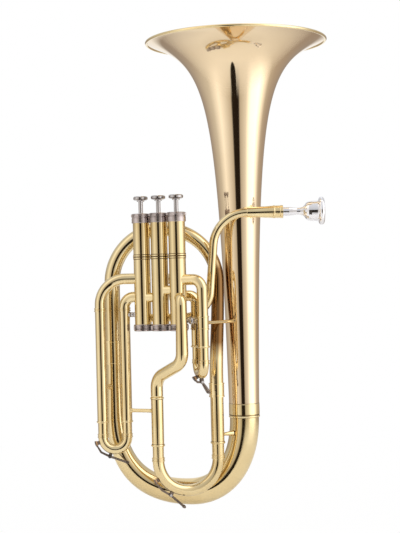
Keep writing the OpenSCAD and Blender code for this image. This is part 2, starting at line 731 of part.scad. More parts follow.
module third_slide_sleeves() {
  color(brass) {
    valve_leg(3, third_left_at, third_ring_z, third_high_z, third_high_bend);
    valve_leg(3, third_right_at, third_ring_z, third_low_z, third_low_bend);
    translate([third_left_x, third_y, casing_z + 15.6]) ferrule(sleeve_r - 0.1, 4.4);
    translate([third_right_x, third_y, casing_z + 15.6]) ferrule(sleeve_r - 0.1, 4.4);
  }
}

// The second slide lies level, behind the middle valve, one leg above the other
second_gap = second_high_z - second_low_z;
second_bow_r = 6.1;
second_u = second_sleeve_l + second_drawn + crook_band_h;

module at_second(z, reach) {
  translate(valve_at(2) + [0, 0, z]) rotate([0, 0, second_dir]) translate([reach, 0, 0])
    rotate([0, -90, 0]) children();
}

module second_slide_sleeves() {
  color(brass) difference() {
    union() {
      at_second(second_high_z, second_sleeve_l) second_sleeve();
      at_second(second_low_z, second_sleeve_l) second_sleeve();
    }
    translate(valve_at(2)) cylinder(r = casing_r, h = 400);
  }
}

module second_sleeve() {
  pipe(sleeve_r, sleeve_wall, second_sleeve_l);
  end_ring(sleeve_r);
}

module second_crook() {
  color(brass) at_second(second_low_z, second_u)
    crook(second_gap, main_tube_r, main_tube_r, second_bow_r, crook_band_h + second_drawn + second_leg_l);
}

module second_slide_knob() {
  far = second_u + second_gap / 2 + second_bow_r;
  color(brass) difference() {
    translate(valve_at(2) + [0, 0, (second_high_z + second_low_z) / 2]) rotate([0, 0, second_dir])
      translate([far - 1.5, 0, 0]) rotate([0, 90, 0]) rotate_extrude() polygon([
        [0, 0], [2.6, 0], [2.6, 1.9], [1.7, 2.6], [1.7, 3.6], [3.6, 4], [4.4, 4.8], [3.6, 5.7], [0, 6.1]
      ]);
    at_second(second_low_z, second_u) crook_space(second_gap, second_bow_r);
  }
}

first_u = first_ring_z - first_drawn - crook_band_h;
first_gap = flat_distance(first_front_at, first_rear_at);
first_turn = azimuth(first_front_at, first_rear_at);
third_u = third_ring_z - third_drawn - crook_band_h;
third_gap = third_right_x - third_left_x;
slide_bow_r = 5.75;

module at_first_u() {
  translate([first_front_at[0], first_front_at[1], first_u]) rotate([0, 0, first_turn]) children();
}

module at_third_u() {
  translate([third_left_x, third_y, third_u]) children();
}

module first_crook() {
  color(brass) at_first_u()
    crook(first_gap, main_tube_r, main_tube_r, slide_bow_r, crook_band_h + first_drawn + first_leg_l);
}

module third_crook() {
  color(brass) at_third_u()
    crook(third_gap, main_tube_r, main_tube_r, slide_bow_r, crook_band_h + third_drawn + third_leg_l);
}

// ---------------------------------------------------------------- pistons

module piston(n) {
  v = valve_at(n);
  p = port_points(n);
  top = piston_z + piston_l;
  rest_bore = port_r - 1;
  pressed = [0, 0, valve_travel];
  color(nickel) difference() {
    translate(v) rotate_extrude() polygon([
      [0, piston_z + 8], [piston_r - 1.2, piston_z + 8], [piston_r - 1.2, piston_z],
      [piston_r, piston_z], [piston_r, top - 0.5], [piston_r - 0.5, top], [stem_r + 1.5, top],
      [stem_r, top + 1.5], [stem_r, plate_z], [casing_in - 1, plate_z], [casing_in - 1, plate_z + plate_h],
      [stem_r, plate_z + plate_h], [stem_r, button_z + 1.5], [0, button_z + 1.5]
    ]);
    passage(p[0], p[1], rest_bore);
    passage([v[0], v[1], p[3][2]] + pressed, p[3] + pressed, rest_bore);
  }
}

module finger_button(n) {
  r = button_r;
  h = button_h;
  color(nickel) translate(valve_at(n) + [0, 0, button_z]) rotate_extrude() polygon([
    [stem_r, 0], [4.2, 0], [4.4, 0.9], [r - 1.2, 1.7], [r, 2.6], [r, h - 1], [r - 0.9, h],
    [r - 2.6, h - 0.2], [0, h - 0.7], [0, 1.5], [stem_r, 1.5]
  ]);
}

module piston_felt(n) {
  color("#4a6b4d") translate(valve_at(n) + [0, 0, plate_z + plate_h])
    rotate_extrude() polygon([[stem_r, 0], [6.4, 0], [6.4, felt_h], [stem_r, felt_h]]);
}

spring_turns = 8;
spring_wire = 0.45;
spring_coil = 6.6;

module piston_spring(n) {
  steps = spring_turns * 12;
  base = spring_z + 0.05 + spring_wire;
  l = plate_z - spring_z - 0.1 - 2 * spring_wire;
  sides = 5;
  points = [for (i = [0 : steps], j = [0 : sides - 1])
    let (a = 30 * i, r = spring_coil + spring_wire * cos(72 * j))
    [r * cos(a), r * sin(a), base + l * i / steps + spring_wire * sin(72 * j)]];
  faces = concat(
    [for (i = [0 : steps - 1], j = [0 : sides - 1], h = [0, 1])
      let (a = i * sides + j, b = i * sides + (j + 1) % sides)
      h == 0 ? [a, b, b + sides] : [a, b + sides, a + sides]],
    [[for (j = [sides - 1 : -1 : 0]) j], [for (j = [0 : sides - 1]) steps * sides + j]]
  );
  color(nickel) translate(valve_at(n)) polyhedron(points = points, faces = faces, convexity = 10);
}

// ---------------------------------------------------------------- water keys

// A key lies in a plane of its own: u to the right, v up, round a tube of outer radius
// reach whose middle is at 0. Angles are counted from +u.
nipple_l = 1.6;
nipple_r = 2.3;
cork_l = 1.7;
pivot_lift = 3.4;
pin_r = 0.7;
pin_fit = 0.05;
lever_w = 2.4;
function polar(r, a) = [r * cos(a), r * sin(a)];
function cork_base(reach) = reach + nipple_l + seat_gap;

module upright_plane() {
  rotate([90, 0, 0]) children();
}

module key_saddle(reach, a_cork, a_pivot) {
  p = polar(reach + pivot_lift, a_pivot);
  upright_plane() {
    rotate([0, 0, a_cork]) rotate([0, 90, 0]) difference() {
      cylinder(r = nipple_r, h = reach + nipple_l);
      translate([0, 0, -1]) cylinder(r = nipple_r - 1, h = reach + nipple_l + 2);
    }
    rotate([0, 0, a_pivot]) for (s = [-1, 1]) {
      translate([reach - 2.4, -2, s * (lever_w / 2 + 0.75) - 0.45]) cube([2.4 + pivot_lift, 4, 0.9]);
      translate([reach + pivot_lift, 0, s * (lever_w / 2 + 0.75) - 0.45]) cylinder(r = 2, h = 0.9);
    }
    translate([p[0], p[1], -lever_w / 2 - 1.5]) cylinder(r = pin_r, h = lever_w + 3);
  }
}

module bar(a, b, w) {
  translate(a) rotate(atan2(b[1] - a[1], b[0] - a[0])) translate([0, -w / 2]) square([norm(b - a), w]);
  translate(a) circle(r = w / 2);
  translate(b) circle(r = w / 2);
}

// Lever over the middle line points, its barrel at the pivot and a cup at the cork
module key_lever(reach, a_cork, a_pivot, points, finger, pad) {
  p = polar(reach + pivot_lift, a_pivot);
  cup = cork_base(reach) + cork_l;
  color("#7d7a78") upright_plane() difference() {
    union() {
      translate([0, 0, -lever_w / 2]) linear_extrude(height = lever_w) {
        for (i = [0 : len(points) - 2]) bar(points[i], points[i + 1], 1.7);
        bar(p, finger, 1.9);
        translate(p) circle(r = 1.9);
      }
      rotate([0, 0, a_cork]) rotate([0, 90, 0]) translate([0, 0, cup]) cylinder(r = 3.1, h = 1.2);
      translate([finger[0], finger[1], -pad / 2]) cylinder(r = 1.5, h = pad);
    }
    translate([p[0], p[1], -5]) cylinder(r = pin_r + pin_fit, h = 10);
    rotate([0, 0, a_cork]) rotate([0, 90, 0]) translate([0, 0, cup - cork_l - 1])
      cylinder(r = 2.7 + seat_gap, h = cork_l + 1);
  }
}

module key_cork(reach, a_cork) {
  color("#b98a5a") upright_plane() rotate([0, 0, a_cork]) rotate([0, 90, 0])
    translate([0, 0, cork_base(reach)]) cylinder(r = 2.7, h = cork_l);
}

main_reach = main_gap / 2 + main_bow_r;
main_cork_a = 211;
main_pivot_a = 241;
main_finger = polar(main_reach + 12.2, 263);
function key_points(reach, a, b) = [polar(cork_base(reach) + cork_l + 0.8, a),
  polar(reach + pivot_lift + 0.5, (a + b) / 2), polar(reach + pivot_lift, b)];

module at_main_key() {
  at_main_u() translate([main_gap / 2, 0, 0]) children();
}

module main_key_saddle() {
  color("#7d7a78") difference() {
    at_main_key() key_saddle(main_reach, main_cork_a, main_pivot_a);
    at_main_u() crook_space(main_gap, main_bow_r);
    at_main_key() upright_plane() cylinder(r = main_gap / 2, h = 40, center = true);
  }
}

module main_key_lever() {
  at_main_key() key_lever(main_reach, main_cork_a, main_pivot_a,
    key_points(main_reach, main_cork_a, main_pivot_a), main_finger, 9);
}

module main_key_cork() {
  at_main_key() key_cork(main_reach, main_cork_a);
}

third_reach = third_gap / 2 + slide_bow_r;
third_cork_a = 197;
third_pivot_a = 253;
third_finger = polar(third_reach + 13, 295);
third_cup_out = cork_base(third_reach) + cork_l + 1.2;

module at_third_key() {
  at_third_u() translate([third_gap / 2, 0, 0]) children();
}

module third_key_saddle() {
  color("#7d7a78") difference() {
    at_third_key() key_saddle(third_reach, third_cork_a, third_pivot_a);
    at_third_u() crook_space(third_gap, slide_bow_r);
    at_third_key() upright_plane() cylinder(r = third_gap / 2, h = 40, center = true);
  }
}

module third_key_lever() {
  at_third_key() key_lever(third_reach, third_cork_a, third_pivot_a,
    key_points(third_reach, third_cork_a, third_pivot_a), third_finger, 9);
}

module third_key_cork() {
  at_third_key() key_cork(third_reach, third_cork_a);
}

// The first slide's key lies crosswise under its U
first_reach = slide_bow_r;
first_cork_a = 212;
first_pivot_a = 276;
first_finger = polar(first_reach + 17, 292);

module at_first_key() {
  at_first_u() translate([first_gap / 2, 0, -first_gap / 2]) rotate([0, 0, -90]) children();
}

module first_key_saddle() {
  color("#7d7a78") difference() {
    at_first_key() key_saddle(first_reach, first_cork_a, first_pivot_a);
    at_first_u() crook_space(first_gap, slide_bow_r);
    at_first_u() translate([first_gap / 2, 0, 0]) upright_plane()
      cylinder(r = first_gap / 2, h = 2 * slide_bow_r - 1, center = true);
  }
}

module first_key_lever() {
  at_first_key() key_lever(first_reach, first_cork_a, first_pivot_a,
    key_points(first_reach, first_cork_a, first_pivot_a), first_finger, 8);
}

module first_key_cork() {
  at_first_key() key_cork(first_reach, first_cork_a);
}

// ---------------------------------------------------------------- stays

module bell_space() {
  outer = [for (z = bell_zs) [bell_r(z) - 0.001, z]];
  rotate_extrude() polygon(concat(
    [[0, bell_joint_z], [bell_tail_r, bell_joint_z], [bell_tail_r, bell_joint_z + 9]],
    outer, [[0, bell_zs[len(bell_zs) - 1]]]));
}

module slide_brace() {
  z = [0, 0, main_ring_z + 41];
  color(brass) difference() {
    stay(third_right_at + z, main_left + z, 2.2, 4.2, 8.5);
    leg_space(third_right_x, third_y, sleeve_r);
    leg_space(main_left_x, main_left_y, main_left_r);
  }
}

module bell_stay() {
  z = [0, 0, casing_z + 1];
  color(brass) difference() {
    stay(first_front_at + z, z, 2, 4.6, 10);
    leg_space(first_front_at[0], first_front_at[1], sleeve_r + 0.95);
    bell_space();
  }
}

module ball_brace(n, at, z, ball, over) {
  v = valve_at(n);
  d = flat_distance(v, at);
  color(nickel) difference() {
    translate([v[0], v[1], z]) rotate([0, 0, azimuth(v, at)]) rotate([0, 90, 0]) {
      cylinder(r = 1.7, h = d);
      translate([0, 0, (casing_r + d - sleeve_r - over) / 2]) sphere(r = ball);
      cylinder(r = 3.2, h = casing_r + 0.9);
      translate([0, 0, d - sleeve_r - over - 1.4]) cylinder(r = 3, h = sleeve_r);
    }
    translate(v) cylinder(r = casing_r, h = 400);
    leg_space(at[0], at[1], sleeve_r + over);
  }
}

module ball_braces() {
  ball_brace(1, first_front_at, casing_z + 3.6, 4.4, 0.95);
  ball_brace(3, third_right_at, casing_z + 11.5, 3, 0);
}

module receiver_post() {
  a = [lead_start_x + 7, lead_y, lead_z];
  color(brass) difference() {
    stay(a, [6, 0, lead_z], 2, 3.6, 7);
    receiver_solid();
    bell_space();
  }
}

module third_slide_stay() {
  z = [0, 0, third_ring_z + 41];
  bow = [left_x, 0, 0];
  end = bow + (bow_r(2) + solder) * unit(third_left_at - bow);
  color(brass) difference() {
    stay(third_left_at + z, end + z, 2, 3.4, sleeve_r + 1.2);
    leg_space(third_left_x, third_y, sleeve_r);
  }
}

module bow_stay() {
  z = [0, 0, main_ring_z + 10];
  end = [-1.5, -1, 0] + (bell_tail_r - 0.3) * unit(main_right - [-1.5, -1, 0]);
  color(brass) difference() {
    stay(main_right + z, end + z, 2, 3.4, wide_sleeve_r + 1.2);
    leg_space(main_right_x, main_right_y, wide_sleeve_r);
  }
}

// ---------------------------------------------------------------- mouthpiece

module mouthpiece() {
  r = cup_d / 2;
  l = shank_l + cup_reach;
  t = shank_r - shank_taper;
  color(silver) translate([receiver_x - shank_l, lead_y, lead_z]) rotate([0, 90, 0])
    rotate_extrude() polygon([
      [t - 0.9, 0], [t, 0], [shank_r, shank_l], [shank_r, shank_l + 7], [4.7, shank_l + 11],
      [4.1, shank_l + 16], [4.3, shank_l + 20], [5.4, shank_l + 23.5], [7.6, shank_l + 25.5],
      [10, shank_l + 27], [11.2, shank_l + 29.5], [11.9, shank_l + 33], [12.2, l - 8.2],
      [12.6, l - 7], [14.6, l - 6.4], [r - 0.7, l - 5.6], [r, l - 4.6], [r, l - 2.6], [r - 0.7, l - 1.2],
      [r - 2.2, l - 0.2], [r - 3.6, l], [r - 5, l - 0.6], [r - 5.9, l - 2], [r - 6.6, l - 5],
      [r - 7.4, l - 10], [6, l - 15.5], [3.6, l - 19.5], [2.4, l - 22.5], [2.2, l - 25],
      [2.5, l - 34], [3.2, shank_l]
    ]);
}

// ---------------------------------------------------------------- drawing

// The frame's origin lies under the middle of the whole horn
cup_edge = [-(third_cup_out * cos(third_cork_a - 180) + 3.1 * sin(third_cork_a - 180)), 0];
span_left = (third_left_x + third_right_x) / 2 + cup_edge[0];
span_right = bell_d / 2;
mid_x = (span_left + span_right) / 2;
low_z = min([for (i = [0 : bow_n])
  let (t = heading(bow_path, i)) bow_path[i][2] - bow_r(i) * sqrt(1 - t[2] * t[2])]);

module shifted() {
  translate([-mid_x, 0, -low_z]) children();
}

shifted() bell();
shifted() bell_ferrule();
shifted() bottom_bow();
shifted() left_ferrule();
shifted() top_bow();
shifted() branch_ferrule();
shifted() main_sleeve_right();
shifted() main_sleeve_left();
shifted() valve_outlet();
shifted() leadpipe();
shifted() mouthpiece_receiver();
shifted() casing(1);  // valve_casing_1
shifted() casing(2);  // valve_casing_2
shifted() casing(3);  // valve_casing_3
shifted() top_cap(1);  // top_cap_1
shifted() top_cap(2);  // top_cap_2
shifted() top_cap(3);  // top_cap_3
shifted() bottom_cap(1);  // bottom_cap_1
shifted() bottom_cap(2);  // bottom_cap_2
shifted() bottom_cap(3);  // bottom_cap_3
shifted() valve_knuckles();
shifted() first_slide_sleeves();
shifted() second_slide_sleeves();
shifted() third_slide_sleeves();
shifted() slide_brace();
shifted() bell_stay();
shifted() ball_braces();
shifted() receiver_post();
shifted() third_slide_stay();
shifted() bow_stay();
shifted() piston(1);  // piston_1
shifted() piston(2);  // piston_2
shifted() piston(3);  // piston_3
shifted() finger_button(1);  // finger_button_1
shifted() finger_button(2);  // finger_button_2
shifted() finger_button(3);  // finger_button_3
shifted() piston_spring(1);  // piston_spring_1
shifted() piston_spring(2);  // piston_spring_2
shifted() piston_spring(3);  // piston_spring_3
shifted() piston_felt(1);  // piston_felt_1
shifted() piston_felt(2);  // piston_felt_2
shifted() piston_felt(3);  // piston_felt_3
shifted() main_crook();
shifted() first_crook();
shifted() second_crook();
shifted() second_slide_knob();
shifted() third_crook();
shifted() main_key_saddle();
shifted() first_key_saddle();
shifted() third_key_saddle();
shifted() main_key_lever();
shifted() first_key_lever();
shifted() third_key_lever();
shifted() main_key_cork();
shifted() first_key_cork();
shifted() third_key_cork();
shifted() mouthpiece();
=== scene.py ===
# %% [markdown]
# # A small upright brass horn
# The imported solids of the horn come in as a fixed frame: every tube, valve and lever already has its
# size and place. This lesson gives them the surfaces a brass maker would: lacquered brass, nickel,
# silver plate, cork and felt. It also makes again, as smooth drawn metal, the few long forms that
# follow a rule or a path.

# %% Load the frame
import json
import math

import bpy
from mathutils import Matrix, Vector

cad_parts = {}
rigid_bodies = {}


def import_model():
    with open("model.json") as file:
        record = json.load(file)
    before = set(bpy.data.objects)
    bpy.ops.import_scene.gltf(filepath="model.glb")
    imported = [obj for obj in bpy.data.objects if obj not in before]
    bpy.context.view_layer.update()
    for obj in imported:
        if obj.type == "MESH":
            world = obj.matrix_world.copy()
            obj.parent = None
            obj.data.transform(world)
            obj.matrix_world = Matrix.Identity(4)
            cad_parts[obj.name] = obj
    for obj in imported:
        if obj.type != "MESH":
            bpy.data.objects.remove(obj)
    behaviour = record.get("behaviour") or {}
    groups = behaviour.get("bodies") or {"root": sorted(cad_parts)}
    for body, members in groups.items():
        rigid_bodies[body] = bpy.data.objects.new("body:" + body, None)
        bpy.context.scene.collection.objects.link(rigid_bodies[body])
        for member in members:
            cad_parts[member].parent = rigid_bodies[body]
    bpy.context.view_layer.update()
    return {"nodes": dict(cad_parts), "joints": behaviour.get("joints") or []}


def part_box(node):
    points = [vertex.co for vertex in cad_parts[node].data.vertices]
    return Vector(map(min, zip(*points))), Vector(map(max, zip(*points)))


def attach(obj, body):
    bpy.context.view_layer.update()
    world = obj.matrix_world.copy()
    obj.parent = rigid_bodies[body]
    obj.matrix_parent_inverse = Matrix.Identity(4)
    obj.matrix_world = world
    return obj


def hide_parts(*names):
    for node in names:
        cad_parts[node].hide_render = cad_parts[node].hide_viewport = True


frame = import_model()
nodes = frame["nodes"]
scene = bpy.context.scene

# %% [markdown]
# Everything is placed from two numbers: the bell's axis and the height of its rim. The maker's drawing
# counts X and Y from the bell's axis and heights from the foot of the bow, in millimetres, so one
# helper turns a point of that drawing into metres in the frame.

# %% Drawing coordinates
bell_low, bell_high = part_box("bell")
AXIS_X = (bell_low.x + bell_high.x) / 2
RIM_Z = 551.5
LIFT = bell_high.z * 1000 - RIM_Z


def drawn(x, y, z):
    return Vector((AXIS_X + x / 1000, y / 1000, (z + LIFT) / 1000))


print("bell axis at", round(AXIS_X, 5), "lift", round(LIFT, 3))

# %% [markdown]
# The camera stands a metre and a half away and a little above the middle, with a long lens, so that
# upright tubes stay parallel. A slight roll lets the bell lean to the left. The upward shift keeps the
# camera level while the horn stands in the middle of the frame.

# %% Camera
FRAME_HIGH, FOCAL, SHIFT_UP, ROLL = 533, 1350, 17.5, 1.35
SENSOR = 36
camera_data = bpy.data.cameras.new("view")
camera_data.sensor_width = SENSOR
camera_data.lens = SENSOR * FOCAL / FRAME_HIGH
camera_data.shift_y = SHIFT_UP / FRAME_HIGH
camera_data.clip_end = 30
camera = bpy.data.objects.new("view", camera_data)
scene.collection.objects.link(camera)
camera.location = drawn(-49.1, -1606, 263)
camera.rotation_euler = (math.radians(90), math.radians(ROLL), 0)
scene.camera = camera
scene.view_settings.view_transform = "Standard"
print("camera at", tuple(round(v, 3) for v in camera.location))

# %% [markdown]
# Polished metal shows the room more than itself. The room here is a plain one: a white floor and a
# white surround for the eye, and for the metal a studio of broad soft lights with dark gaps between
# them. The dark gaps are what draws the thin black lines down a brass tube; without them it would look
# like yellow plastic. All of it is made of nodes, and a few helpers keep their wiring readable.

# %% Node helpers
def tree_of(owner):
    owner.use_nodes = True
    tree = owner.node_tree
    tree.nodes.clear()
    return tree


def add(tree, kind, feeds=None, **settings):
    """Adds a node. Each feed is a plain value for an input, or the output that is wired to it."""
    node = tree.nodes.new(kind)
    for key, value in settings.items():
        setattr(node, key, value)
    for socket, value in (feeds or {}).items():
        if hasattr(value, "links"):
            tree.links.new(value, node.inputs[socket])
        else:
            node.inputs[socket].default_value = value
    return node


def maths(tree, operation, a, b=None):
    feeds = {0: a} if b is None else {0: a, 1: b}
    return add(tree, "ShaderNodeMath", feeds, operation=operation).outputs[0]


def remap(tree, value, low, high, to_low=0.0, to_high=1.0):
    """Carries a value from one range to another and holds it at both ends."""
    feeds = {"Value": value, "From Min": low, "From Max": high, "To Min": to_low, "To Max": to_high}
    return add(tree, "ShaderNodeMapRange", feeds).outputs[0]


def ramp(tree, place, stops):
    """Turns a place between 0 and 1 into a colour."""
    node = add(tree, "ShaderNodeValToRGB", {0: place})
    marks = node.color_ramp.elements
    while len(marks) > 1:
        marks.remove(marks[0])
    for i, (spot, colour) in enumerate(stops):
        mark = marks[0] if i == 0 else marks.new(spot)
        mark.position = spot
        mark.color = (*colour, 1)
    return node.outputs[0]


def mixed(tree, how, a, b):
    feeds = {"Factor": 1, "A": a, "B": b}
    return add(tree, "ShaderNodeMix", feeds, data_type="RGBA", blend_type=how).outputs["Result"]


def crossfade(tree, share, first, second):
    return add(tree, "ShaderNodeMixShader", {0: share, 1: first, 2: second}).outputs[0]


print("node helpers ready")

# %% [markdown]
# The surround is a ramp round the compass, with a lit ceiling above it. Place 0.5 on the ramp is
# straight towards the camera from the horn, smaller places lie to the left of it and larger ones to
# the right. One ramp is easier to tune than six lamps and it never casts a hard edge. The white
# backdrop behind the horn is there for the eye and, in the sector where it stands, for the metal's
# reflections too.

# %% The studio surround
CAMERA_SIDE = 0.5
BACKDROP_FROM, BACKDROP_FULL = 0.46, 0.47
CEILING_FROM, CEILING_FULL, CEILING_LIGHT = 0.09, 0.17, 0.7
ROOM_LIGHT = 0.9
world = bpy.data.worlds.new("studio")
scene.world = world
wt = tree_of(world)
way = add(wt, "ShaderNodeTexCoord").outputs["Generated"]
parts = add(wt, "ShaderNodeSeparateXYZ", {0: way}).outputs
turn = maths(wt, "ARCTAN2", parts["X"], maths(wt, "MULTIPLY", parts["Y"], -1))
compass = remap(wt, turn, -math.pi, math.pi)
walls = ramp(wt, compass, [
    (0.000, (0.30, 0.25, 0.22)), (0.120, (0.52, 0.47, 0.43)), (0.230, (0.78, 0.75, 0.70)),
    (0.317, (1.34, 1.31, 1.26)), (0.375, (1.00, 0.96, 0.90)), (0.434, (0.66, 0.60, 0.52)),
    (0.448, (0.025, 0.018, 0.012)), (0.510, (0.020, 0.014, 0.010)), (0.522, (0.62, 0.57, 0.50)),
    (0.583, (0.98, 0.95, 0.90)), (0.633, (2.00, 1.99, 1.97)), (0.705, (2.30, 2.28, 2.25)),
    (0.750, (1.45, 1.42, 1.37)), (0.800, (0.66, 0.60, 0.54)), (0.840, (0.55, 0.48, 0.43)),
    (0.900, (0.48, 0.41, 0.36)), (1.000, (0.36, 0.30, 0.26)),
])
height = ramp(wt, remap(wt, parts["Z"], -1, 1), [
    (0.0, (0.80, 0.78, 0.75)), (0.18, (1.08, 1.07, 1.06)), (0.40, (1.05, 1.05, 1.04)),
    (0.50, (0.97, 0.96, 0.95)), (0.62, (1, 1, 1)), (1.0, (1.3, 1.3, 1.3)),
])
ceiling = remap(wt, parts["Z"], CEILING_FROM, CEILING_FULL, to_high=CEILING_LIGHT)
lit = mixed(wt, "MULTIPLY", mixed(wt, "LIGHTEN", walls, ceiling), height)
room = add(wt, "ShaderNodeBackground", {"Color": lit, "Strength": ROOM_LIGHT}).outputs[0]
white = add(wt, "ShaderNodeBackground", {"Color": (1, 1, 1, 1)}).outputs[0]
off_axis = maths(wt, "ABSOLUTE", maths(wt, "SUBTRACT", compass, CAMERA_SIDE))
behind = remap(wt, off_axis, BACKDROP_FROM, BACKDROP_FULL)
ray = add(wt, "ShaderNodeLightPath").outputs
mirrored = maths(wt, "MAXIMUM", ray["Is Glossy Ray"], ray["Is Transmission Ray"])
backdrop = maths(wt, "MAXIMUM", ray["Is Camera Ray"], maths(wt, "MULTIPLY", mirrored, behind))
add(wt, "ShaderNodeOutputWorld", {"Surface": crossfade(wt, backdrop, room, white)})
print("surround of", len(wt.nodes), "nodes")

# %% [markdown]
# The floor is white paper. It lies four centimetres below the foot of the bow, so that a slide that is
# drawn down still hangs free above it. The paper fades out with distance, so that no hard horizon shows
# in the metal. A dark cloth lies on it in front of the horn, pointed towards it and hidden from the
# eye. It carries the dark gap of the room down under the horizon, and so the black line on the bell
# runs on up into the flare, to the point where the metal looks straight down at bare paper.

# %% Floor
FLOOR_Z = -0.040
NEAR_EDGE, REAR_EDGE, SIDE_EDGE = -6, 9, 6
FADE_FROM, FADE_FULL = 0.35, 1.3
CLOTH_TIP, CLOTH_SLANT, CLOTH_SPREAD, CLOTH_SOFT = 0.37, 0.15, 0.185, 0.012
GLOW_SHARE = 0.975
floor_mesh = bpy.data.meshes.new("floor")
corners = ((-SIDE_EDGE, NEAR_EDGE), (SIDE_EDGE, NEAR_EDGE),
           (SIDE_EDGE, REAR_EDGE), (-SIDE_EDGE, REAR_EDGE))
floor_mesh.from_pydata([(x, y, FLOOR_Z) for x, y in corners], [], [(0, 1, 2, 3)])
floor = bpy.data.objects.new("floor", floor_mesh)
scene.collection.objects.link(floor)
paper = bpy.data.materials.new("floor_paper")
pt = tree_of(paper)
here = add(pt, "ShaderNodeTexCoord").outputs["Object"]
to_eye = add(pt, "ShaderNodeLightPath").outputs["Is Camera Ray"]
flat = add(pt, "ShaderNodeSeparateXYZ", {0: here}).outputs
ahead = maths(pt, "MULTIPLY", flat["Y"], -1.0)
aside = maths(pt, "ABSOLUTE", maths(pt, "ADD", flat["X"], maths(pt, "MULTIPLY", ahead, CLOTH_SLANT)))
reach = maths(pt, "SQRT", maths(pt, "MAXIMUM", maths(pt, "SUBTRACT", ahead, CLOTH_TIP), 0.0))
inside = maths(pt, "SUBTRACT", maths(pt, "MULTIPLY", reach, CLOTH_SPREAD), aside)
laid = maths(pt, "MULTIPLY", remap(pt, inside, 0, CLOTH_SOFT), maths(pt, "SUBTRACT", 1.0, to_eye))
tint = ramp(pt, laid, [(0.0, (0.77, 0.76, 0.74)), (1.0, (0.012, 0.010, 0.008))])
sheet = add(pt, "ShaderNodeBsdfDiffuse", {"Color": tint}).outputs[0]
distance = add(pt, "ShaderNodeVectorMath", {0: here}, operation="LENGTH").outputs["Value"]
nothing = add(pt, "ShaderNodeBsdfTransparent").outputs[0]
fading = crossfade(pt, remap(pt, distance, FADE_FROM, FADE_FULL), sheet, nothing)
glow = add(pt, "ShaderNodeEmission").outputs[0]
surface = crossfade(pt, maths(pt, "MULTIPLY", to_eye, GLOW_SHARE), fading, glow)
add(pt, "ShaderNodeOutputMaterial", {"Surface": surface})
floor_mesh.materials.append(paper)
print("floor laid at", FLOOR_Z)

# %% [markdown]
# Three broad soft lamps light what isn't polished: the paper, the cork and the felt. They are hidden
# from mirrors, because a bright lamp in a tube reads as a scratch of white paint beside the room's own
# light.

# %% Soft lamps
def soft_lamp(name, place, towards, size, power):
    lamp = bpy.data.lights.new(name, "AREA")
    lamp.shape = "RECTANGLE"
    lamp.size, lamp.size_y = size
    lamp.energy = power
    obj = bpy.data.objects.new(name, lamp)
    scene.collection.objects.link(obj)
    obj.location = place
    obj.rotation_euler = (Vector(towards) - Vector(place)).to_track_quat("-Z", "Y").to_euler()
    obj.visible_glossy = False


middle = (0, 0, 0.28)
soft_lamp("lamp_left", (-1.5, -1.1, 0.9), middle, (0.5, 1.6), 9)
soft_lamp("lamp_right", (1.4, -1.3, 0.7), middle, (0.35, 1.5), 7)
soft_lamp("lamp_top", (0, -0.5, 1.9), middle, (1.4, 1.0), 7)
print("lamps", len(bpy.data.lights))

# %% [markdown]
# Every metal here is the same recipe with other numbers. The colour drifts a little over a hand's
# breadth, because lacquer is never of one thickness. The roughness drifts more finely, where fingers
# have been, and a very low bump of stretched noise stands for the marks that drawing and polishing
# leave on tube. Where one stretch of a tube lies in shade, a soft ellipsoid of painted shade tints the
# colour brown.

# %% A recipe for metals
COAT_ROUGH = 0.04
THICK_LACQUER, THIN_LACQUER = 0.36, 0.62
PATCH_DETAIL = 3
FINGER_SCALE, FINGER_DETAIL, FINGER_ROUGH = 55, 6, 0.62
WIPED, TOUCHED = 0.7, 1.5
MARK_SCALE, MARK_DETAIL, MARK_DEPTH = 14, 4, 0.0004


def noise(tree, where, scale, detail, roughness=0.5):
    feeds = {"Vector": where, "Scale": scale, "Detail": detail, "Roughness": roughness}
    return add(tree, "ShaderNodeTexNoise", feeds).outputs["Fac"]


def bumped(tree, height, strength, distance):
    feeds = {"Height": height, "Strength": strength, "Distance": distance}
    return add(tree, "ShaderNodeBump", feeds).outputs[0]


def paint_shade(tree, where, colour, centre, size, stops):
    """Paints shade: darkens a colour inside an ellipsoid, softly at its edge."""
    feeds = {"Vector": where, "Location": centre, "Scale": size}
    local = add(tree, "ShaderNodeMapping", feeds, vector_type="TEXTURE").outputs[0]
    depth = add(tree, "ShaderNodeTexGradient", {0: local}, gradient_type="SPHERICAL").outputs["Fac"]
    return mixed(tree, "MULTIPLY", colour, ramp(tree, depth, stops))


def metal(name, light, dark, rough, grain=(60, 60, 9), bump=0.02, coat=0.0, patch=14, painted_shade=None):
    material = bpy.data.materials.new(name)
    tree = tree_of(material)
    where = add(tree, "ShaderNodeTexCoord").outputs["Object"]
    drift = noise(tree, where, patch, PATCH_DETAIL)
    colour = ramp(tree, drift, [(THICK_LACQUER, dark), (THIN_LACQUER, light)])
    # Painted shade, where one is given: a brown tint over the colour inside an ellipsoid.
    if painted_shade:
        colour = paint_shade(tree, where, colour, *painted_shade)
    fingers = noise(tree, where, FINGER_SCALE, FINGER_DETAIL, FINGER_ROUGH)
    drawn_out = add(tree, "ShaderNodeMapping", {"Vector": where, "Scale": grain}).outputs[0]
    marks = noise(tree, drawn_out, MARK_SCALE, MARK_DETAIL)
    body = add(tree, "ShaderNodeBsdfPrincipled", {
        "Base Color": colour, "Metallic": 1, "Coat Weight": coat, "Coat Roughness": COAT_ROUGH,
        "Roughness": remap(tree, fingers, 0, 1, rough * WIPED, rough * TOUCHED),
        "Normal": bumped(tree, marks, bump, MARK_DEPTH),
    })
    add(tree, "ShaderNodeOutputMaterial", {"Surface": body.outputs[0]})
    return material


print("metal recipe ready")
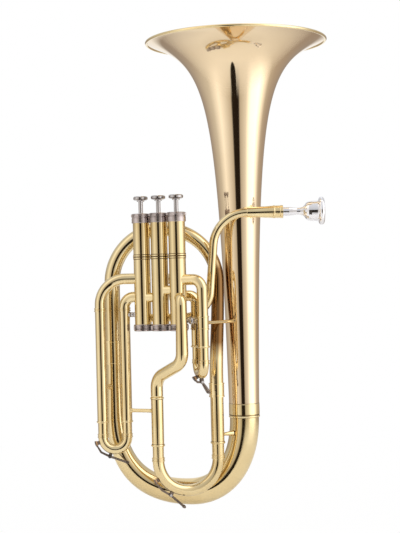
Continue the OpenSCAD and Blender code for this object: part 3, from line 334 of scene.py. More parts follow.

# %% [markdown]
# A horn is made of several metals. Tubes are lacquered yellow brass, ferrules are polished brighter,
# caps and buttons are nickel, the mouthpiece is plated with silver, and the keys have gone dark with
# handling. Close beside the bell the ascending branch lies in the bell's shade and mirrors its dark
# side, so its lacquer carries painted shade there, a brown tint. The bell has its own brass too, a
# little paler and redder than the tubes, because a large thin sheet is polished harder than drawn tube.

# %% The horn's metals
TUBE_BRASS = (0.80, 0.66, 0.39), (0.71, 0.55, 0.29)
# Painted shade: the branch lies in the bell's shade beside the bell stay, so its lacquer is tinted
# brown there.
SHADE_AT, SHADE_REACH = (0.005, -0.02, 0.236), (0.07, 0.07, 0.062)
SHADE_TINT = [(0.0, (1, 1, 1)), (0.30, (0.27, 0.17, 0.10))]
lacquer = metal("lacquered_brass_tube", *TUBE_BRASS, 0.07, bump=0.006, coat=0.15)
shaded_lacquer = metal("lacquered_brass_painted_shade", *TUBE_BRASS, 0.09, bump=0.006, coat=0.15,
                     painted_shade=(SHADE_AT, SHADE_REACH, SHADE_TINT))
bell_brass = metal("lacquered_brass_bell", (0.87, 0.71, 0.50), (0.83, 0.66, 0.44), 0.06,
                   grain=(8, 8, 90), bump=0.006, coat=0.2, patch=8)
ferrule_brass = metal("bright_brass_ferrule", (0.88, 0.74, 0.44), (0.82, 0.65, 0.36), 0.07,
                      grain=(20, 20, 160), bump=0.012, coat=0.15, patch=30)
nickel = metal("polished_nickel", (0.56, 0.535, 0.54), (0.45, 0.425, 0.43), 0.12,
               grain=(20, 20, 120), patch=40)
cap_nickel = metal("cap_nickel", (0.56, 0.49, 0.48), (0.40, 0.35, 0.34), 0.2,
                   grain=(20, 20, 120), patch=60)
silver = metal("silver_plate", (0.87, 0.87, 0.91), (0.79, 0.79, 0.84), 0.08,
               grain=(90, 20, 20), bump=0.01, patch=30)
dull = metal("dark_nickel", (0.24, 0.19, 0.16), (0.11, 0.085, 0.07), 0.3, bump=0.08, patch=60)
print("metals", [m.name for m in (lacquer, bell_brass, ferrule_brass, nickel, silver, dull)])

# %% [markdown]
# Cork and felt scatter light inside themselves and have no shine. Cork is a ramp over noise: the
# bark's grain and its dark pits. Felt gets a matted bump and a little sheen from its loose fibres.

# %% Cork and felt
GRAIN_DETAIL, GRAIN_ROUGH, GRAIN_DEPTH = 8, 0.7, 0.0005
PITS, BARK = 0.40, 0.55


def soft_stuff(name, light, dark, scale, rough, bump, sheen=0.0):
    material = bpy.data.materials.new(name)
    tree = tree_of(material)
    where = add(tree, "ShaderNodeTexCoord").outputs["Object"]
    grain = noise(tree, where, scale, GRAIN_DETAIL, GRAIN_ROUGH)
    body = add(tree, "ShaderNodeBsdfPrincipled", {
        "Base Color": ramp(tree, grain, [(PITS, dark), (BARK, light)]), "Roughness": rough,
        "Sheen Weight": sheen, "Normal": bumped(tree, grain, bump, GRAIN_DEPTH),
    })
    add(tree, "ShaderNodeOutputMaterial", {"Surface": body.outputs[0]})
    return material


cork = soft_stuff("cork", (0.50, 0.31, 0.16), (0.24, 0.13, 0.06), 900, 0.85, 0.5)
felt = soft_stuff("green_felt", (0.13, 0.22, 0.15), (0.07, 0.13, 0.09), 1600, 0.95, 0.6, sheen=0.4)
print("materials", len(bpy.data.materials))

# %% [markdown]
# Each solid gets its finish by a word in its name, and everything that isn't named is lacquered brass,
# since that is what most of a horn is. Caps, buttons and key levers are nickel because fingers wear
# lacquer away.

# %% Dress the solids
FINISH = [
    ("key_cork", cork), ("piston_felt", felt), ("key_saddle", dull), ("key_lever", dull),
    ("mouthpiece_receiver", ferrule_brass), ("mouthpiece", silver), ("top_cap", cap_nickel),
    ("bottom_cap", cap_nickel), ("finger_button", nickel), ("piston", nickel),
    ("ball_braces", nickel), ("ferrule", ferrule_brass), ("bell_stay", lacquer), ("bell", bell_brass),
]


def wear(piece, material):
    piece.data.materials.clear()
    piece.data.materials.append(material)


for name, node in nodes.items():
    wear(node, next((finish for word, finish in FINISH if word in name), lacquer))
print("dressed", len(nodes))

# %% [markdown]
# The bell is the one form that follows a rule all the way. Its radius falls with the distance from the
# rim as a power, which is what a spun horn bell does, so a Geometry Nodes tree can draw it: a flat grid
# whose rows are pushed out to that radius. A wall is then given to it, and its edge is rolled over a
# wire. Three helpers serve every tree: one opens it, one closes it and one runs it.

# %% Geometry Nodes helpers
def new_tree(name, inputs):
    """Opens a tree and returns it with the outputs of its input node, by name."""
    tree = bpy.data.node_groups.new(name, "GeometryNodeTree")
    tree.is_modifier = True
    tree.interface.new_socket("Geometry", in_out="INPUT", socket_type="NodeSocketGeometry")
    for label, kind, value in inputs:
        socket = tree.interface.new_socket(label, in_out="INPUT", socket_type="NodeSocket" + kind)
        if value is not None:
            socket.default_value = value
    tree.interface.new_socket("Geometry", in_out="OUTPUT", socket_type="NodeSocketGeometry")
    return tree, {s.name: s for s in add(tree, "NodeGroupInput").outputs}


def close(tree, geometry, material):
    """Makes instances real, gives the material and ends the tree."""
    real = add(tree, "GeometryNodeRealizeInstances", {0: geometry}).outputs[0]
    coat = add(tree, "GeometryNodeSetMaterial", {"Geometry": real, "Material": material}).outputs[0]
    add(tree, "NodeGroupOutput", {0: coat})


def xyz(tree, **values):
    return add(tree, "ShaderNodeCombineXYZ", values).outputs[0]


def smooth(tree, geometry):
    return add(tree, "GeometryNodeSetShadeSmooth", {"Geometry": geometry}).outputs[0]


def circle(tree, resolution, radius):
    feeds = {"Resolution": resolution, "Radius": radius}
    return add(tree, "GeometryNodeCurvePrimitiveCircle", feeds).outputs[0]


def moved(tree, geometry, **how):
    return add(tree, "GeometryNodeTransform", {"Geometry": geometry, **how}).outputs[0]


def grown(name, tree, settings, body, start=None, wall=0.0):
    """Runs a tree on a start object and returns the plain mesh it makes, riding on a body."""
    holder = start or bpy.data.objects.new(name + "_seed", bpy.data.meshes.new(name + "_seed"))
    scene.collection.objects.link(holder)
    modifier = holder.modifiers.new("shape", "NODES")
    modifier.node_group = tree
    ids = {s.name: s.identifier for s in tree.interface.items_tree if s.in_out == "INPUT"}
    for label, value in settings.items():
        modifier[ids[label]] = value
    if wall:
        thick = holder.modifiers.new("wall", "SOLIDIFY")
        thick.thickness = wall
        thick.offset = -1
    bpy.context.view_layer.update()
    shaped = holder.evaluated_get(bpy.context.evaluated_depsgraph_get())
    mesh = bpy.data.meshes.new_from_object(shaped)
    holder.modifiers.clear()
    bpy.data.objects.remove(holder)
    mesh.name = name
    obj = bpy.data.objects.new(name, mesh)
    scene.collection.objects.link(obj)
    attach(obj, body)
    print(name, len(mesh.polygons), "faces")
    return obj


print("tree helpers ready")

# %% [markdown]
# The tree starts from a flat grid. One side of the grid runs round the bell and the other runs up it,
# and two steps of arithmetic turn a place on the grid into an angle and a radius. Rows stand closer
# together near the rim, where the flare turns fastest. Naming the inputs keeps the rule readable: the
# rim's radius, the core it falls to, the reach and the power are the whole shape of a flare. The grid
# is closed at its seam by merging.

# %% The bell's rule as a tree
SEAM_GAP = 1e-6
ROW_POWER = 2.0
bt, given = new_tree("flared_bell", [
    ("Axis", "Vector", None), ("Rim radius", "Float", 0.108), ("Core radius", "Float", 0.007861),
    ("Reach", "Float", 0.024), ("Power", "Float", 0.8), ("Length", "Float", 0.43),
    ("Tail radius", "Float", 0.0174), ("Around", "Int", 160), ("Along", "Int", 150),
])
grid = add(bt, "GeometryNodeMeshGrid", {
    "Size X": 1, "Size Y": 1, "Vertices X": given["Along"], "Vertices Y": given["Around"],
}).outputs["Mesh"]
spot = add(bt, "ShaderNodeSeparateXYZ", {0: add(bt, "GeometryNodeInputPosition").outputs[0]}).outputs
along = maths(bt, "ADD", spot["X"], 0.5)
down = maths(bt, "MULTIPLY", maths(bt, "POWER", along, ROW_POWER), given["Length"])
angle = maths(bt, "MULTIPLY", maths(bt, "ADD", spot["Y"], 0.5), -2 * math.pi)
ratio = maths(bt, "DIVIDE", given["Reach"], maths(bt, "ADD", down, given["Reach"]))
fall = maths(bt, "POWER", ratio, given["Power"])
swell = maths(bt, "MULTIPLY", maths(bt, "SUBTRACT", given["Rim radius"], given["Core radius"]), fall)
flare = maths(bt, "ADD", given["Core radius"], swell)
radius = maths(bt, "MAXIMUM", flare, given["Tail radius"])
turned = xyz(bt, X=maths(bt, "MULTIPLY", radius, maths(bt, "COSINE", angle)),
             Y=maths(bt, "MULTIPLY", radius, maths(bt, "SINE", angle)),
             Z=maths(bt, "MULTIPLY", down, -1.0))
place = add(bt, "ShaderNodeVectorMath", {0: turned, 1: given["Axis"]}, operation="ADD").outputs[0]
spun = add(bt, "GeometryNodeSetPosition", {"Geometry": grid, "Position": place}).outputs[0]
closed = add(bt, "GeometryNodeMergeByDistance", {"Geometry": spun, "Distance": SEAM_GAP}).outputs[0]
close(bt, smooth(bt, closed), bell_brass)
print("bell rule in", len(bt.nodes), "nodes")

# %% [markdown]
# The bell is the tree run once, with the thickness of spun sheet given to it. The skin starts a little
# below the rim, where the roll takes over, and ends inside the ferrule at its tail.

# %% The bell in brass
TAIL_Z = 112
SKIN_START, SKIN_RIM, SHEET = 0.8, 0.1073, 0.0007
rim_centre = drawn(0, 0, RIM_Z)
bell_skin = grown("bell_skin", bt, {
    "Axis": rim_centre - Vector((0, 0, SKIN_START / 1000)), "Rim radius": SKIN_RIM,
    "Length": (RIM_Z - SKIN_START - TAIL_Z) / 1000,
}, "horn", wall=SHEET)
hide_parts("bell")

# %% [markdown]
# The edge of a horn's bell is turned over a ring of wire, which stops the thin sheet from tearing and
# makes it ring evenly. The roll is a round profile carried round a circle. The same small tree makes
# every round bead on the horn, so its two radii are named inputs.

# %% A bead round a circle
WIRE_SIDES = 16
bead_tree, given = new_tree("round_bead", [
    ("Centre", "Vector", None), ("Ring radius", "Float", 0.1), ("Wire radius", "Float", 0.0018),
    ("Around", "Int", 160),
])
ring = circle(bead_tree, given["Around"], given["Ring radius"])
wire = circle(bead_tree, WIRE_SIDES, given["Wire radius"])
roll = add(bead_tree, "GeometryNodeCurveToMesh", {"Curve": ring, "Profile Curve": wire}).outputs[0]
set_down = moved(bead_tree, roll, Translation=given["Centre"])
close(bead_tree, smooth(bead_tree, set_down), ferrule_brass)
print("bead rule in", len(bead_tree.nodes), "nodes")

# %% [markdown]
# The bead lies just inside the solid's outer edge. It catches a thin bright line all round, and that
# line is what tells the eye that the rim is rolled and not cut.

# %% The rolled rim
ROLL_DOWN, ROLL_RING, ROLL_WIRE, ROLL_AROUND = 1.75, 0.1063, 0.0017, 192
rim_roll = grown("bell_rim_roll", bead_tree, {
    "Centre": drawn(0, 0, RIM_Z - ROLL_DOWN), "Ring radius": ROLL_RING, "Wire radius": ROLL_WIRE,
    "Around": ROLL_AROUND,
}, "horn")

# %% [markdown]
# Bows and branches are tubes bent over lead or ice, and what makes them look right is an even surface
# with no kinks. The route is worked out by the same rules as the solid's: straight lengths, arcs and
# two easy curves. A curve object carries the route and the radius at each point, and a tree sweeps a
# round profile along it. The wall is given afterwards, so that an open end has an edge.

# %% Swept tube
tube_tree, given = new_tree("drawn_tube", [("Sides", "Int", 56), ("Spacing", "Float", 0.0018)])
feeds = {"Curve": given["Geometry"], "Length": given["Spacing"]}
evened = add(tube_tree, "GeometryNodeResampleCurve", feeds, mode="LENGTH").outputs[0]
sweep = add(tube_tree, "GeometryNodeCurveToMesh", {
    "Curve": evened, "Profile Curve": circle(tube_tree, given["Sides"], 1),
    "Scale": add(tube_tree, "GeometryNodeInputRadius").outputs[0],
}).outputs[0]
close(tube_tree, smooth(tube_tree, sweep), lacquer)


def route(name, places, radii):
    """A line through places in metres that carries its own thickness, given in millimetres."""
    curve = bpy.data.curves.new(name + "_route", "CURVE")
    curve.dimensions = "3D"
    line = curve.splines.new("POLY")
    line.points.add(len(places) - 1)
    for point, place, r in zip(line.points, places, radii):
        point.co = (*place, 1)
        point.radius = r / 1000
    return bpy.data.objects.new(name + "_route", curve)


def tube(name, points, radii, node, wall=SHEET, sides=56):
    """Sweeps a round tube through points in drawing millimetres, in place of a solid."""
    start = route(name, [drawn(*point) for point in points], radii)
    piece = grown(name, tube_tree, {"Sides": sides}, "horn", start=start, wall=wall)
    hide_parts(node)
    return piece


print("sweep rule in", len(tube_tree.nodes), "nodes")

# %% [markdown]
# The bottom bow is one long cone, bent. Two cubic curves meet at its lowest point, and the radius
# grows along the way by the same rule the solid follows, quickly at first and slowly towards the bell.

# %% Bottom bow
LEFT_X, LEFT_R = -153.5, 9.0
LOW_X, LOW_R = -64, 16.8
TAIL_R, GROWTH = 17.4, 1.75
FOOT, BEND_Z, SPIGOT = 184, 113, 15
LEAN, LEFT_PULL, LEFT_EASE = 0.5, 45.2, 0.6
RIGHT_EASE, TAIL_PULL, TAIL_EASE = 0.39, 61, 9
LEFT_PARTS, RIGHT_PARTS, FINE_PARTS = 12, 10, 8
lowest = (LOW_X, 0, LOW_R)
left_limb = [(LEFT_X, 0, BEND_Z), (LEFT_X - LEAN, 0, LEFT_PULL),
             (LOW_X * (1 - LEFT_EASE) + LEFT_X * LEFT_EASE, 0, LOW_R), lowest]
right_limb = [lowest, (LOW_X * RIGHT_EASE, 0, LOW_R), (0, 0, TAIL_Z - TAIL_PULL),
              (0, 0, TAIL_Z - TAIL_EASE)]


def bezier(p, t):
    a, b, c, d = (Vector(v) for v in p)
    u = 1 - t
    return u ** 3 * a + 3 * t * u ** 2 * b + 3 * t * t * u * c + t ** 3 * d


shank = [Vector((LEFT_X, 0, z)) for z in (FOOT, FOOT - SPIGOT, (FOOT + BEND_Z) / 2 - 8)]
coarse = (shank + [bezier(left_limb, i / LEFT_PARTS) for i in range(LEFT_PARTS)]
          + [bezier(right_limb, i / RIGHT_PARTS) for i in range(RIGHT_PARTS + 1)]
          + [Vector((0, 0, TAIL_Z))])
curved = [(left_limb, len(shank), LEFT_PARTS), (right_limb, len(shank) + LEFT_PARTS, RIGHT_PARTS)]


def bow_radius(i):
    if i < 1:
        return LEFT_R
    share = min(1, (i - 1) / (len(coarse) - 3))
    return LEFT_R + (TAIL_R - LEFT_R) * (1 - (1 - share) ** GROWTH)


def refined(points, radii, parts, curves):
    """Adds points between the coarse ones, on the true curve where one is given for that stretch."""
    fine, fine_r = [], []
    for i in range(len(points) - 1):
        curve = next(((limb, first, n) for limb, first, n in curves if first <= i < first + n), None)
        for k in range(parts):
            t = k / parts
            fine.append(bezier(curve[0], (i - curve[1] + t) / curve[2]) if curve
                        else points[i].lerp(points[i + 1], t))
            fine_r.append(radii[i] + (radii[i + 1] - radii[i]) * t)
    return fine + [points[-1]], fine_r + [radii[-1]]


bow_points, bow_radii = refined(coarse, [bow_radius(i) for i in range(len(coarse))], FINE_PARTS, curved)
tube("bottom_bow_tube", bow_points, bow_radii, "bottom_bow", sides=72)

# %% [markdown]
# The top bow rises from the tuning slide, leans back a little, turns over the valves in a half circle
# that is not quite square to the view, and comes down on the left. It narrows a little on the way up
# and widens over the arch, which is why its radius is given at each point too.

# %% Top bow
RIGHT, HEAD = (-32.5, -25.0), (-28.5, -14.0)
ARCH_Z, ARCH_R, BRANCH_R, BRANCH_Z = 266, 7.7, 8.0, 139
FOOT_EASE, RISE_EASE = Vector((0, 0, 10)), Vector((0, 0, 50))
THIN_R, ARCH_FROM, ARCH_GROWTH = ARCH_R - 0.2, ARCH_R - 0.1, LEFT_R + 0.2 - ARCH_R
RISE_PARTS, NARROW_PARTS, ARCH_PARTS = 40, 33.3, 96
foot = Vector((*RIGHT, BRANCH_Z))
head = Vector((*HEAD, ARCH_Z))
rise = [foot + FOOT_EASE, foot + RISE_EASE, head - RISE_EASE, head]
centre = Vector(((LEFT_X + HEAD[0]) / 2, HEAD[1] / 2, ARCH_Z))
half = Vector(((HEAD[0] - LEFT_X) / 2, HEAD[1] / 2, 0))
branch = [foot] + [bezier(rise, i / RISE_PARTS) for i in range(RISE_PARTS)]
branch_r = [BRANCH_R]
branch_r += [BRANCH_R + (THIN_R - BRANCH_R) * min(1, i / NARROW_PARTS) for i in range(RISE_PARTS)]
for i in range(ARCH_PARTS + 1):
    a = math.pi * i / ARCH_PARTS
    branch.append(centre + half * math.cos(a) + Vector((0, 0, half.length * math.sin(a))))
    branch_r.append(ARCH_FROM + ARCH_GROWTH * i / ARCH_PARTS)
branch += [Vector((LEFT_X, 0, FOOT + SPIGOT)), Vector((LEFT_X, 0, FOOT))]
branch_r += [LEFT_R, LEFT_R]
# The top bow wears the lacquer with painted shade, so the branch beside the bell comes out brown.
wear(tube("top_bow_tube", branch, branch_r, "top_bow"), shaded_lacquer)

# %% [markdown]
# The leadpipe and the tube that leaves the first valve are runs of straight lengths and arcs, so their
# route is traced like a turtle's: go straight, roll, bend. Each step holds the straight length, the
# bend's radius, its angle and the roll before it.

# %% Tracing a run of tube
BEND_STEP = 2.0


def rolled(f, a):
    a = math.radians(a)
    return [f[0] * math.cos(a) + f[1] * math.sin(a), f[1] * math.cos(a) - f[0] * math.sin(a), f[2]]


def pitched(f, a):
    a = math.radians(a)
    return [f[0] * math.cos(a) - f[2] * math.sin(a), f[1], f[2] * math.cos(a) + f[0] * math.sin(a)]


def trace(steps, start, axes):
    points, f, p = [start], axes, start
    for straight, bend, angle, roll in steps:
        if straight > 0:
            p = p + f[2] * straight
            points.append(p)
        f = rolled(f, roll)
        n = math.ceil(angle / BEND_STEP)
        for k in range(1, n + 1):
            a = math.radians(angle * k / n)
            points.append(p + f[0] * bend * (1 - math.cos(a)) + f[2] * bend * math.sin(a))
        p = points[-1]
        f = pitched(f, angle)
    return points


print("a quarter bend takes", math.ceil(90 / BEND_STEP), "points")

# %% [markdown]
# The three valves stand in a row that is turned away from the view, with the first one on the right.
# Tubes leave a casing square to its side, so their routes start from the row and a bearing.

# %% Where the valves stand
ROW_TURN, ROW_X, ROW_Y, PITCH = 27, -95.4, -40.0, 23.4
CASING_Z, CASING_R, SOLDER = 217.5, 9.75, 0.06


def valve_at(n):
    a = math.radians(ROW_TURN)
    return Vector((ROW_X, ROW_Y, 0)) + Vector((math.cos(a), -math.sin(a), 0)) * (2 - n) * PITCH


def level(angle, length=1.0):
    a = math.radians(angle)
    return Vector((math.cos(a), math.sin(a), 0)) * length


def bearing(a, b):
    return math.degrees(math.atan2(b.y - a.y, b.x - a.x))


print("valves at", [tuple(round(c, 1) for c in valve_at(n)) for n in (1, 2, 3)])

# %% [markdown]
# The leadpipe is the narrowest tube on the horn. It leaves the receiver, bends down past the bell,
# veers towards the third valve and enters it from a short riser.

# %% Leadpipe
LEAD_Z, LEAD_Y, LEAD_R = 345, -36, 4.9
RECEIVER_X, RECEIVER_LONG, SOCKET = 49.3, 42, 8
TILT, TURN, R1, R2 = 5, 85.2, 40, 31.4
RISE, REACH, ENTRY, ENTRY_UP, VEER_R = 17.4, 19.6, 104, 7, 12
THIN_SHEET = 0.0005
tilt, turn_angle = math.radians(TILT), math.radians(TURN)
start_x = RECEIVER_X - RECEIVER_LONG
low = CASING_Z + ENTRY_UP
drop = (LEAD_Z - low) / math.cos(tilt)
fall_long = (drop - (R1 + R2) * (1 - math.cos(turn_angle))) / math.sin(turn_angle)
run_x = start_x - (R1 + R2) * math.sin(turn_angle) - fall_long * math.cos(turn_angle)
run_y = LEAD_Y + (LEAD_Z - low) * math.tan(tilt)
riser = valve_at(3) + level(ENTRY, REACH)
vx, vy = run_x - riser.x, riser.y - run_y
veer_long = math.sqrt(vx * vx + (vy - VEER_R) ** 2 - VEER_R ** 2)
veer = math.degrees(math.atan2(vy - VEER_R, vx) + math.atan2(VEER_R, veer_long))
lead_axes = [Vector((0, -math.sin(tilt), math.cos(tilt))), Vector((0, math.cos(tilt), math.sin(tilt))),
             Vector((-1, 0, 0))]
lead_points = trace([
    (SOCKET, R1, TURN, 180), (fall_long, R2, TURN, 180), (0, VEER_R, veer, 90 + TILT),
    (veer_long - RISE / 2, RISE / 2, 90, -90),
    (0, RISE / 2, 90, bearing(riser, valve_at(3)) - (180 - veer) + 180),
    (REACH - RISE / 2 - CASING_R - SOLDER, 0, 0, 0),
], Vector((start_x + SOCKET, LEAD_Y, LEAD_Z)), lead_axes)
lead_radii = [LEAD_R] * len(lead_points)
tube("leadpipe_tube", lead_points, lead_radii, "leadpipe", wall=THIN_SHEET, sides=40)

# %% [markdown]
# The outlet leaves the first valve forwards, turns down, slants across and joins the main slide. It
# narrows from the slide up to the valve, and a smooth sweep shows that better than the solid's flat
# sides do.

# %% Outlet tube
MAIN_LEFT, MAIN_Y, MAIN_RING_Z, SLEEVE_LONG = -102, -40, 76, 57
OUT_UP, OUT_REACH, OUT_DIR, OUT_BEND = 30.1, 18.9, -80, 8
JOG_RISE, JOG_BEND, JOG = 11, 17, 66
OUT_R, OUT_SWELL, SWELL_FROM, SWELL_LONG = 6.3, 0.8, 4, 12
left_leg = Vector((MAIN_LEFT, MAIN_Y, 0))
out_z, jog_low = CASING_Z + OUT_UP, MAIN_RING_Z + SLEEVE_LONG
out_leg = valve_at(1) + level(OUT_DIR, OUT_REACH)
jog_turn = bearing(out_leg, left_leg)
jog = math.radians(JOG)
slope = ((out_leg - left_leg).length - 2 * JOG_BEND * (1 - math.cos(jog))) / math.sin(jog)
jog_top = jog_low + JOG_RISE + 2 * JOG_BEND * math.sin(jog) + slope * math.cos(jog)
flat_way = level(jog_turn + 180)
upright = Vector((0, 0, 1))
outlet_points = trace([
    (JOG_RISE, JOG_BEND, JOG, 0), (slope, JOG_BEND, JOG, 180),
    (out_z - OUT_BEND - jog_top, OUT_BEND, 90, OUT_DIR - jog_turn + 180),
    (OUT_REACH - OUT_BEND - CASING_R - SOLDER, 0, 0, 0),
], left_leg + upright * jog_low, [flat_way, upright.cross(flat_way), upright])
swell_top = out_z - OUT_BEND - SWELL_FROM
outlet_r = [OUT_R + OUT_SWELL * min(1, max(0, (swell_top - p.z) / SWELL_LONG)) for p in outlet_points]
tube("valve_outlet_tube", outlet_points, outlet_r, "valve_outlet", wall=THIN_SHEET, sides=48)

# %% [markdown]
# Knurling is rolled into the caps so that wet fingers can turn them. It is a ring of small ridges,
# which is what Geometry Nodes do best: a circle of points, a ridge put on each point and turned to face
# outwards. A bump map would be lighter, but it leaves the edge of the cap perfectly round, and a knurl
# shows at its edge.

# %% Ring of ridges
kt, given = new_tree("knurl", [
    ("Centre", "Vector", None), ("Tilt", "Vector", None), ("Ring radius", "Float", 0.011),
    ("Count", "Int", 72), ("Height", "Float", 0.003), ("Depth", "Float", 0.0003),
])
hoop = circle(kt, given["Count"], given["Ring radius"])
spots = add(kt, "GeometryNodeCurveToPoints", {"Curve": hoop}, mode="EVALUATED").outputs[0]
ridge = add(kt, "GeometryNodeMeshCone", {
    "Vertices": 4, "Side Segments": 1, "Radius Top": given["Depth"], "Radius Bottom": given["Depth"],
    "Depth": given["Height"],
}).outputs["Mesh"]
half_down = xyz(kt, Z=maths(kt, "MULTIPLY", given["Height"], -0.5))
outwards = add(kt, "FunctionNodeAlignEulerToVector", {
    "Vector": add(kt, "GeometryNodeInputPosition").outputs[0],
}, axis="X").outputs[0]
ridges = add(kt, "GeometryNodeInstanceOnPoints", {
    "Points": spots, "Instance": moved(kt, ridge, Translation=half_down), "Rotation": outwards,
}).outputs[0]
stood = moved(kt, ridges, Translation=given["Centre"], Rotation=given["Tilt"])
close(kt, stood, cap_nickel)
print("knurl rule in", len(kt.nodes), "nodes")

# %% [markdown]
# Two rings of ridges per valve, one on the top cap and one on the bottom cap. Sixty-four ridges a
# ring is as coarse as a real straight knurl of this size, and it still leaves them visible from a few
# metres.

# %% Knurls on the caps
KNURL_R, KNURL_COUNT, KNURL_DEPTH = 11.15, 64, 0.00034
for n in (1, 2, 3):
    v = valve_at(n)
    for part, z, tall in (("top_cap", 344.25, 2.6), ("bottom_cap", 213.6, 4.6)):
        knurl = grown(f"{part}_{n}_knurl", kt, {
            "Centre": drawn(v.x, v.y, z), "Ring radius": KNURL_R / 1000, "Count": KNURL_COUNT,
            "Height": tall / 1000, "Depth": KNURL_DEPTH,
        }, "horn")

# %% [markdown]
# A groove beside a bead lies in shadow, and that shadow draws the thin dark line that makes a turned
# ring readable from across a room. A fine dark brown bead of painted shadow lies in each groove, three
# of them round every casing. The bead tree makes them, so each painted shadow line costs one line.

# %% Painted shadow lines beside the beads
SHADOW_LINE_WIRE, SHADOW_LINE_AROUND = 0.28, 96
CASING_SHADOW_LINES = (("low", 293.3, 0.08), ("mid", 296.0, 0.22), ("high", 298.7, 0.08))
# Painted shadow: a dark brown for the shade in the groove beside a bead.
shadow_line_brown = metal("shadow_line_brown", (0.16, 0.09, 0.04), (0.07, 0.04, 0.02), 0.45, bump=0.02, patch=90)


# Lays one painted shadow line: a thin dark brown bead round a circle.
def shadow_line(name, centre, r):
    piece = grown(name, bead_tree, {
        "Centre": centre, "Ring radius": r / 1000, "Wire radius": SHADOW_LINE_WIRE / 1000,
        "Around": SHADOW_LINE_AROUND,
    }, "horn")
    wear(piece, shadow_line_brown)


for n in (1, 2, 3):
    v = valve_at(n)
    for mark, z, proud in CASING_SHADOW_LINES:
        shadow_line(f"casing_{n}_seam_{mark}", drawn(v.x, v.y, z), CASING_R + proud)

# %% [markdown]
# Three more lie round the bell's ferrule and one beside each end ring of the main slide's sleeves. The
# uppermost one of the ferrule lies on the bell itself, where its skirt leaves the ferrule, so its
# radius is measured from the bell's own skin. The sleeves' painted shadow lines are placed from the
# sleeves' boxes.

# %% Painted shadow lines on the ferrule and the sleeves
SKIRT_Z, SKIRT_BAND, INNER_SKIN, SKIRT_PROUD = 120.35, 0.003, 0.0172, 0.2
FERRULE_LIP, FERRULE_SHADOW_LINES = 1.2, (("low", 103.8, 0.05), ("mid", 106.7, 0.55))
SLEEVE_SHADOW_LINES = (("main_sleeve_left", ("low", "high")), ("main_sleeve_right", ("low",)))
RING_TALL, RING_PROUD = 0.0024, 0.9
tail_r = nodes["bell_ferrule"].dimensions.x * 500 - FERRULE_LIP
for mark, z, proud in FERRULE_SHADOW_LINES:
    shadow_line(f"ferrule_seam_{mark}", drawn(0, 0, z), tail_r + proud)
skirt_at = drawn(0, 0, SKIRT_Z)
skirt = [v.co for v in bell_skin.data.vertices if abs(v.co.z - skirt_at.z) < SKIRT_BAND]
outer = [r for r in (math.hypot(p.x - AXIS_X, p.y) for p in skirt) if r > INNER_SKIN]
skirt_r = sum(outer) * 1000 / len(outer)
print("skirt radius", round(skirt_r, 2), "from", len(outer), "points")
shadow_line("ferrule_seam_high", skirt_at, skirt_r + SKIRT_PROUD)
for node, ends in SLEEVE_SHADOW_LINES:
    low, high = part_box(node)
    ring_r = (high.x - low.x) * 500 - RING_PROUD
    for mark in ends:
        z = low.z + RING_TALL if mark == "low" else high.z - RING_TALL
        shadow_line(f"{node}_seam_{mark}", ((low.x + high.x) / 2, (low.y + high.y) / 2, z), ring_r)

# %% [markdown]
# The water keys are castings, so their levers are round-backed and end in a swollen touch for the
# finger. The solids have flat levers. A bar swept along each lever gives it its back: the route is read
# from the lever itself, from the cup over the cork past the pin to the touch, and the bar rides on the
# key. A short thick bar across its end is the touch.

# %% Cast backs of the water keys
TOUCH_PART, CUP_PART, BEND_PART = 0.0031, 0.0038, 0.0016
TOUCH_HALF, TOUCH_SWELL, BACK_TIP = 0.0044, 0.0036, 0.0012
BAR_SIDES, BAR_SPACING = 20, 0.0004
STOUT = {"first_key": 1.6}


def average(points):
    return sum(points, Vector()) / len(points)


def bar(name, places, radii, body):
    settings = {"Sides": BAR_SIDES, "Spacing": BAR_SPACING}
    piece = grown(name, tube_tree, settings, body, start=route(name, places, radii))
    wear(piece, dull)


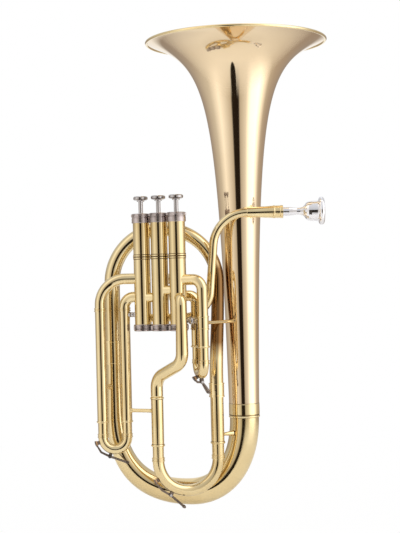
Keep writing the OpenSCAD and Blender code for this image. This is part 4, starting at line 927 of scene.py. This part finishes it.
keys = {}
for joint in frame["joints"]:
    if joint["name"].endswith("_key_press"):
        key = joint["child"]
        pin, axle = Vector(joint["pos_m"]), Vector(joint["axis"]).normalized()
        keys[key] = (pin, axle, joint["parent"])
        lever = [v.co.copy() for v in nodes[key + "_lever"].data.vertices]
        low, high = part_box(key + "_cork")
        cork_at = (low + high) / 2
        far = max((v - cork_at).length for v in lever)
        touch = average([v for v in lever if (v - cork_at).length > far - TOUCH_PART])
        cup = average([v for v in lever if (v - cork_at).length < CUP_PART])
        chord = (pin - cup).normalized()
        bend = average([v for v in lever if abs((v - (pin + cup) / 2).dot(chord)) < BEND_PART])
        tip = touch + (touch - pin).normalized() * BACK_TIP
        stout = STOUT.get(key, 1.0)
        bar(key + "_back", [cup, bend, pin, (pin + touch) / 2, touch, tip],
            [0.7, 1.15, 1.4, 1.3 * stout, 1.5 * stout, 0.1], key)
        swells = (-TOUCH_HALF, -TOUCH_SWELL, 0, TOUCH_SWELL, TOUCH_HALF)
        bar(key + "_touch", [touch + axle * s for s in swells], [0.1, 1.3, 2.1, 1.3, 0.1], key)
        print(key, "touch", [round(c * 1000, 1) for c in touch])

# %% [markdown]
# Each key turns on a screw. The head is a short cylinder with a slot cut through it, made once as a
# tree and put on both cheeks of every saddle. It is a tiny piece, but a plain pin end reads as
# unfinished close up.

# %% Slotted screw heads
SLIT = (0.0004, 0.005, 0.0006)
CHEEK = 0.0029
st, given = new_tree("slotted_head", [
    ("Centre", "Vector", None), ("Turn", "Vector", None), ("Radius", "Float", 0.0015),
    ("Height", "Float", 0.0008),
])
disc = add(st, "GeometryNodeMeshCylinder", {
    "Vertices": 32, "Radius": given["Radius"], "Depth": given["Height"],
}).outputs["Mesh"]
slit = add(st, "GeometryNodeMeshCube", {"Size": SLIT}).outputs["Mesh"]
raised = moved(st, slit, Translation=xyz(st, Z=maths(st, "MULTIPLY", given["Height"], 0.5)))
feeds = {"Mesh 1": disc, "Mesh 2": raised}
cut = add(st, "GeometryNodeMeshBoolean", feeds, operation="DIFFERENCE").outputs["Mesh"]
close(st, moved(st, cut, Translation=given["Centre"], Rotation=given["Turn"]), nickel)

for key, (pin, axle, body) in keys.items():
    for mark, side in (("b", -1), ("a", 1)):
        facing = (axle * side).to_track_quat("Z", "Y").to_euler()
        screw = grown(f"{key}_screw_{mark}", st, {
            "Centre": pin + axle * side * CHEEK, "Turn": facing}, body)
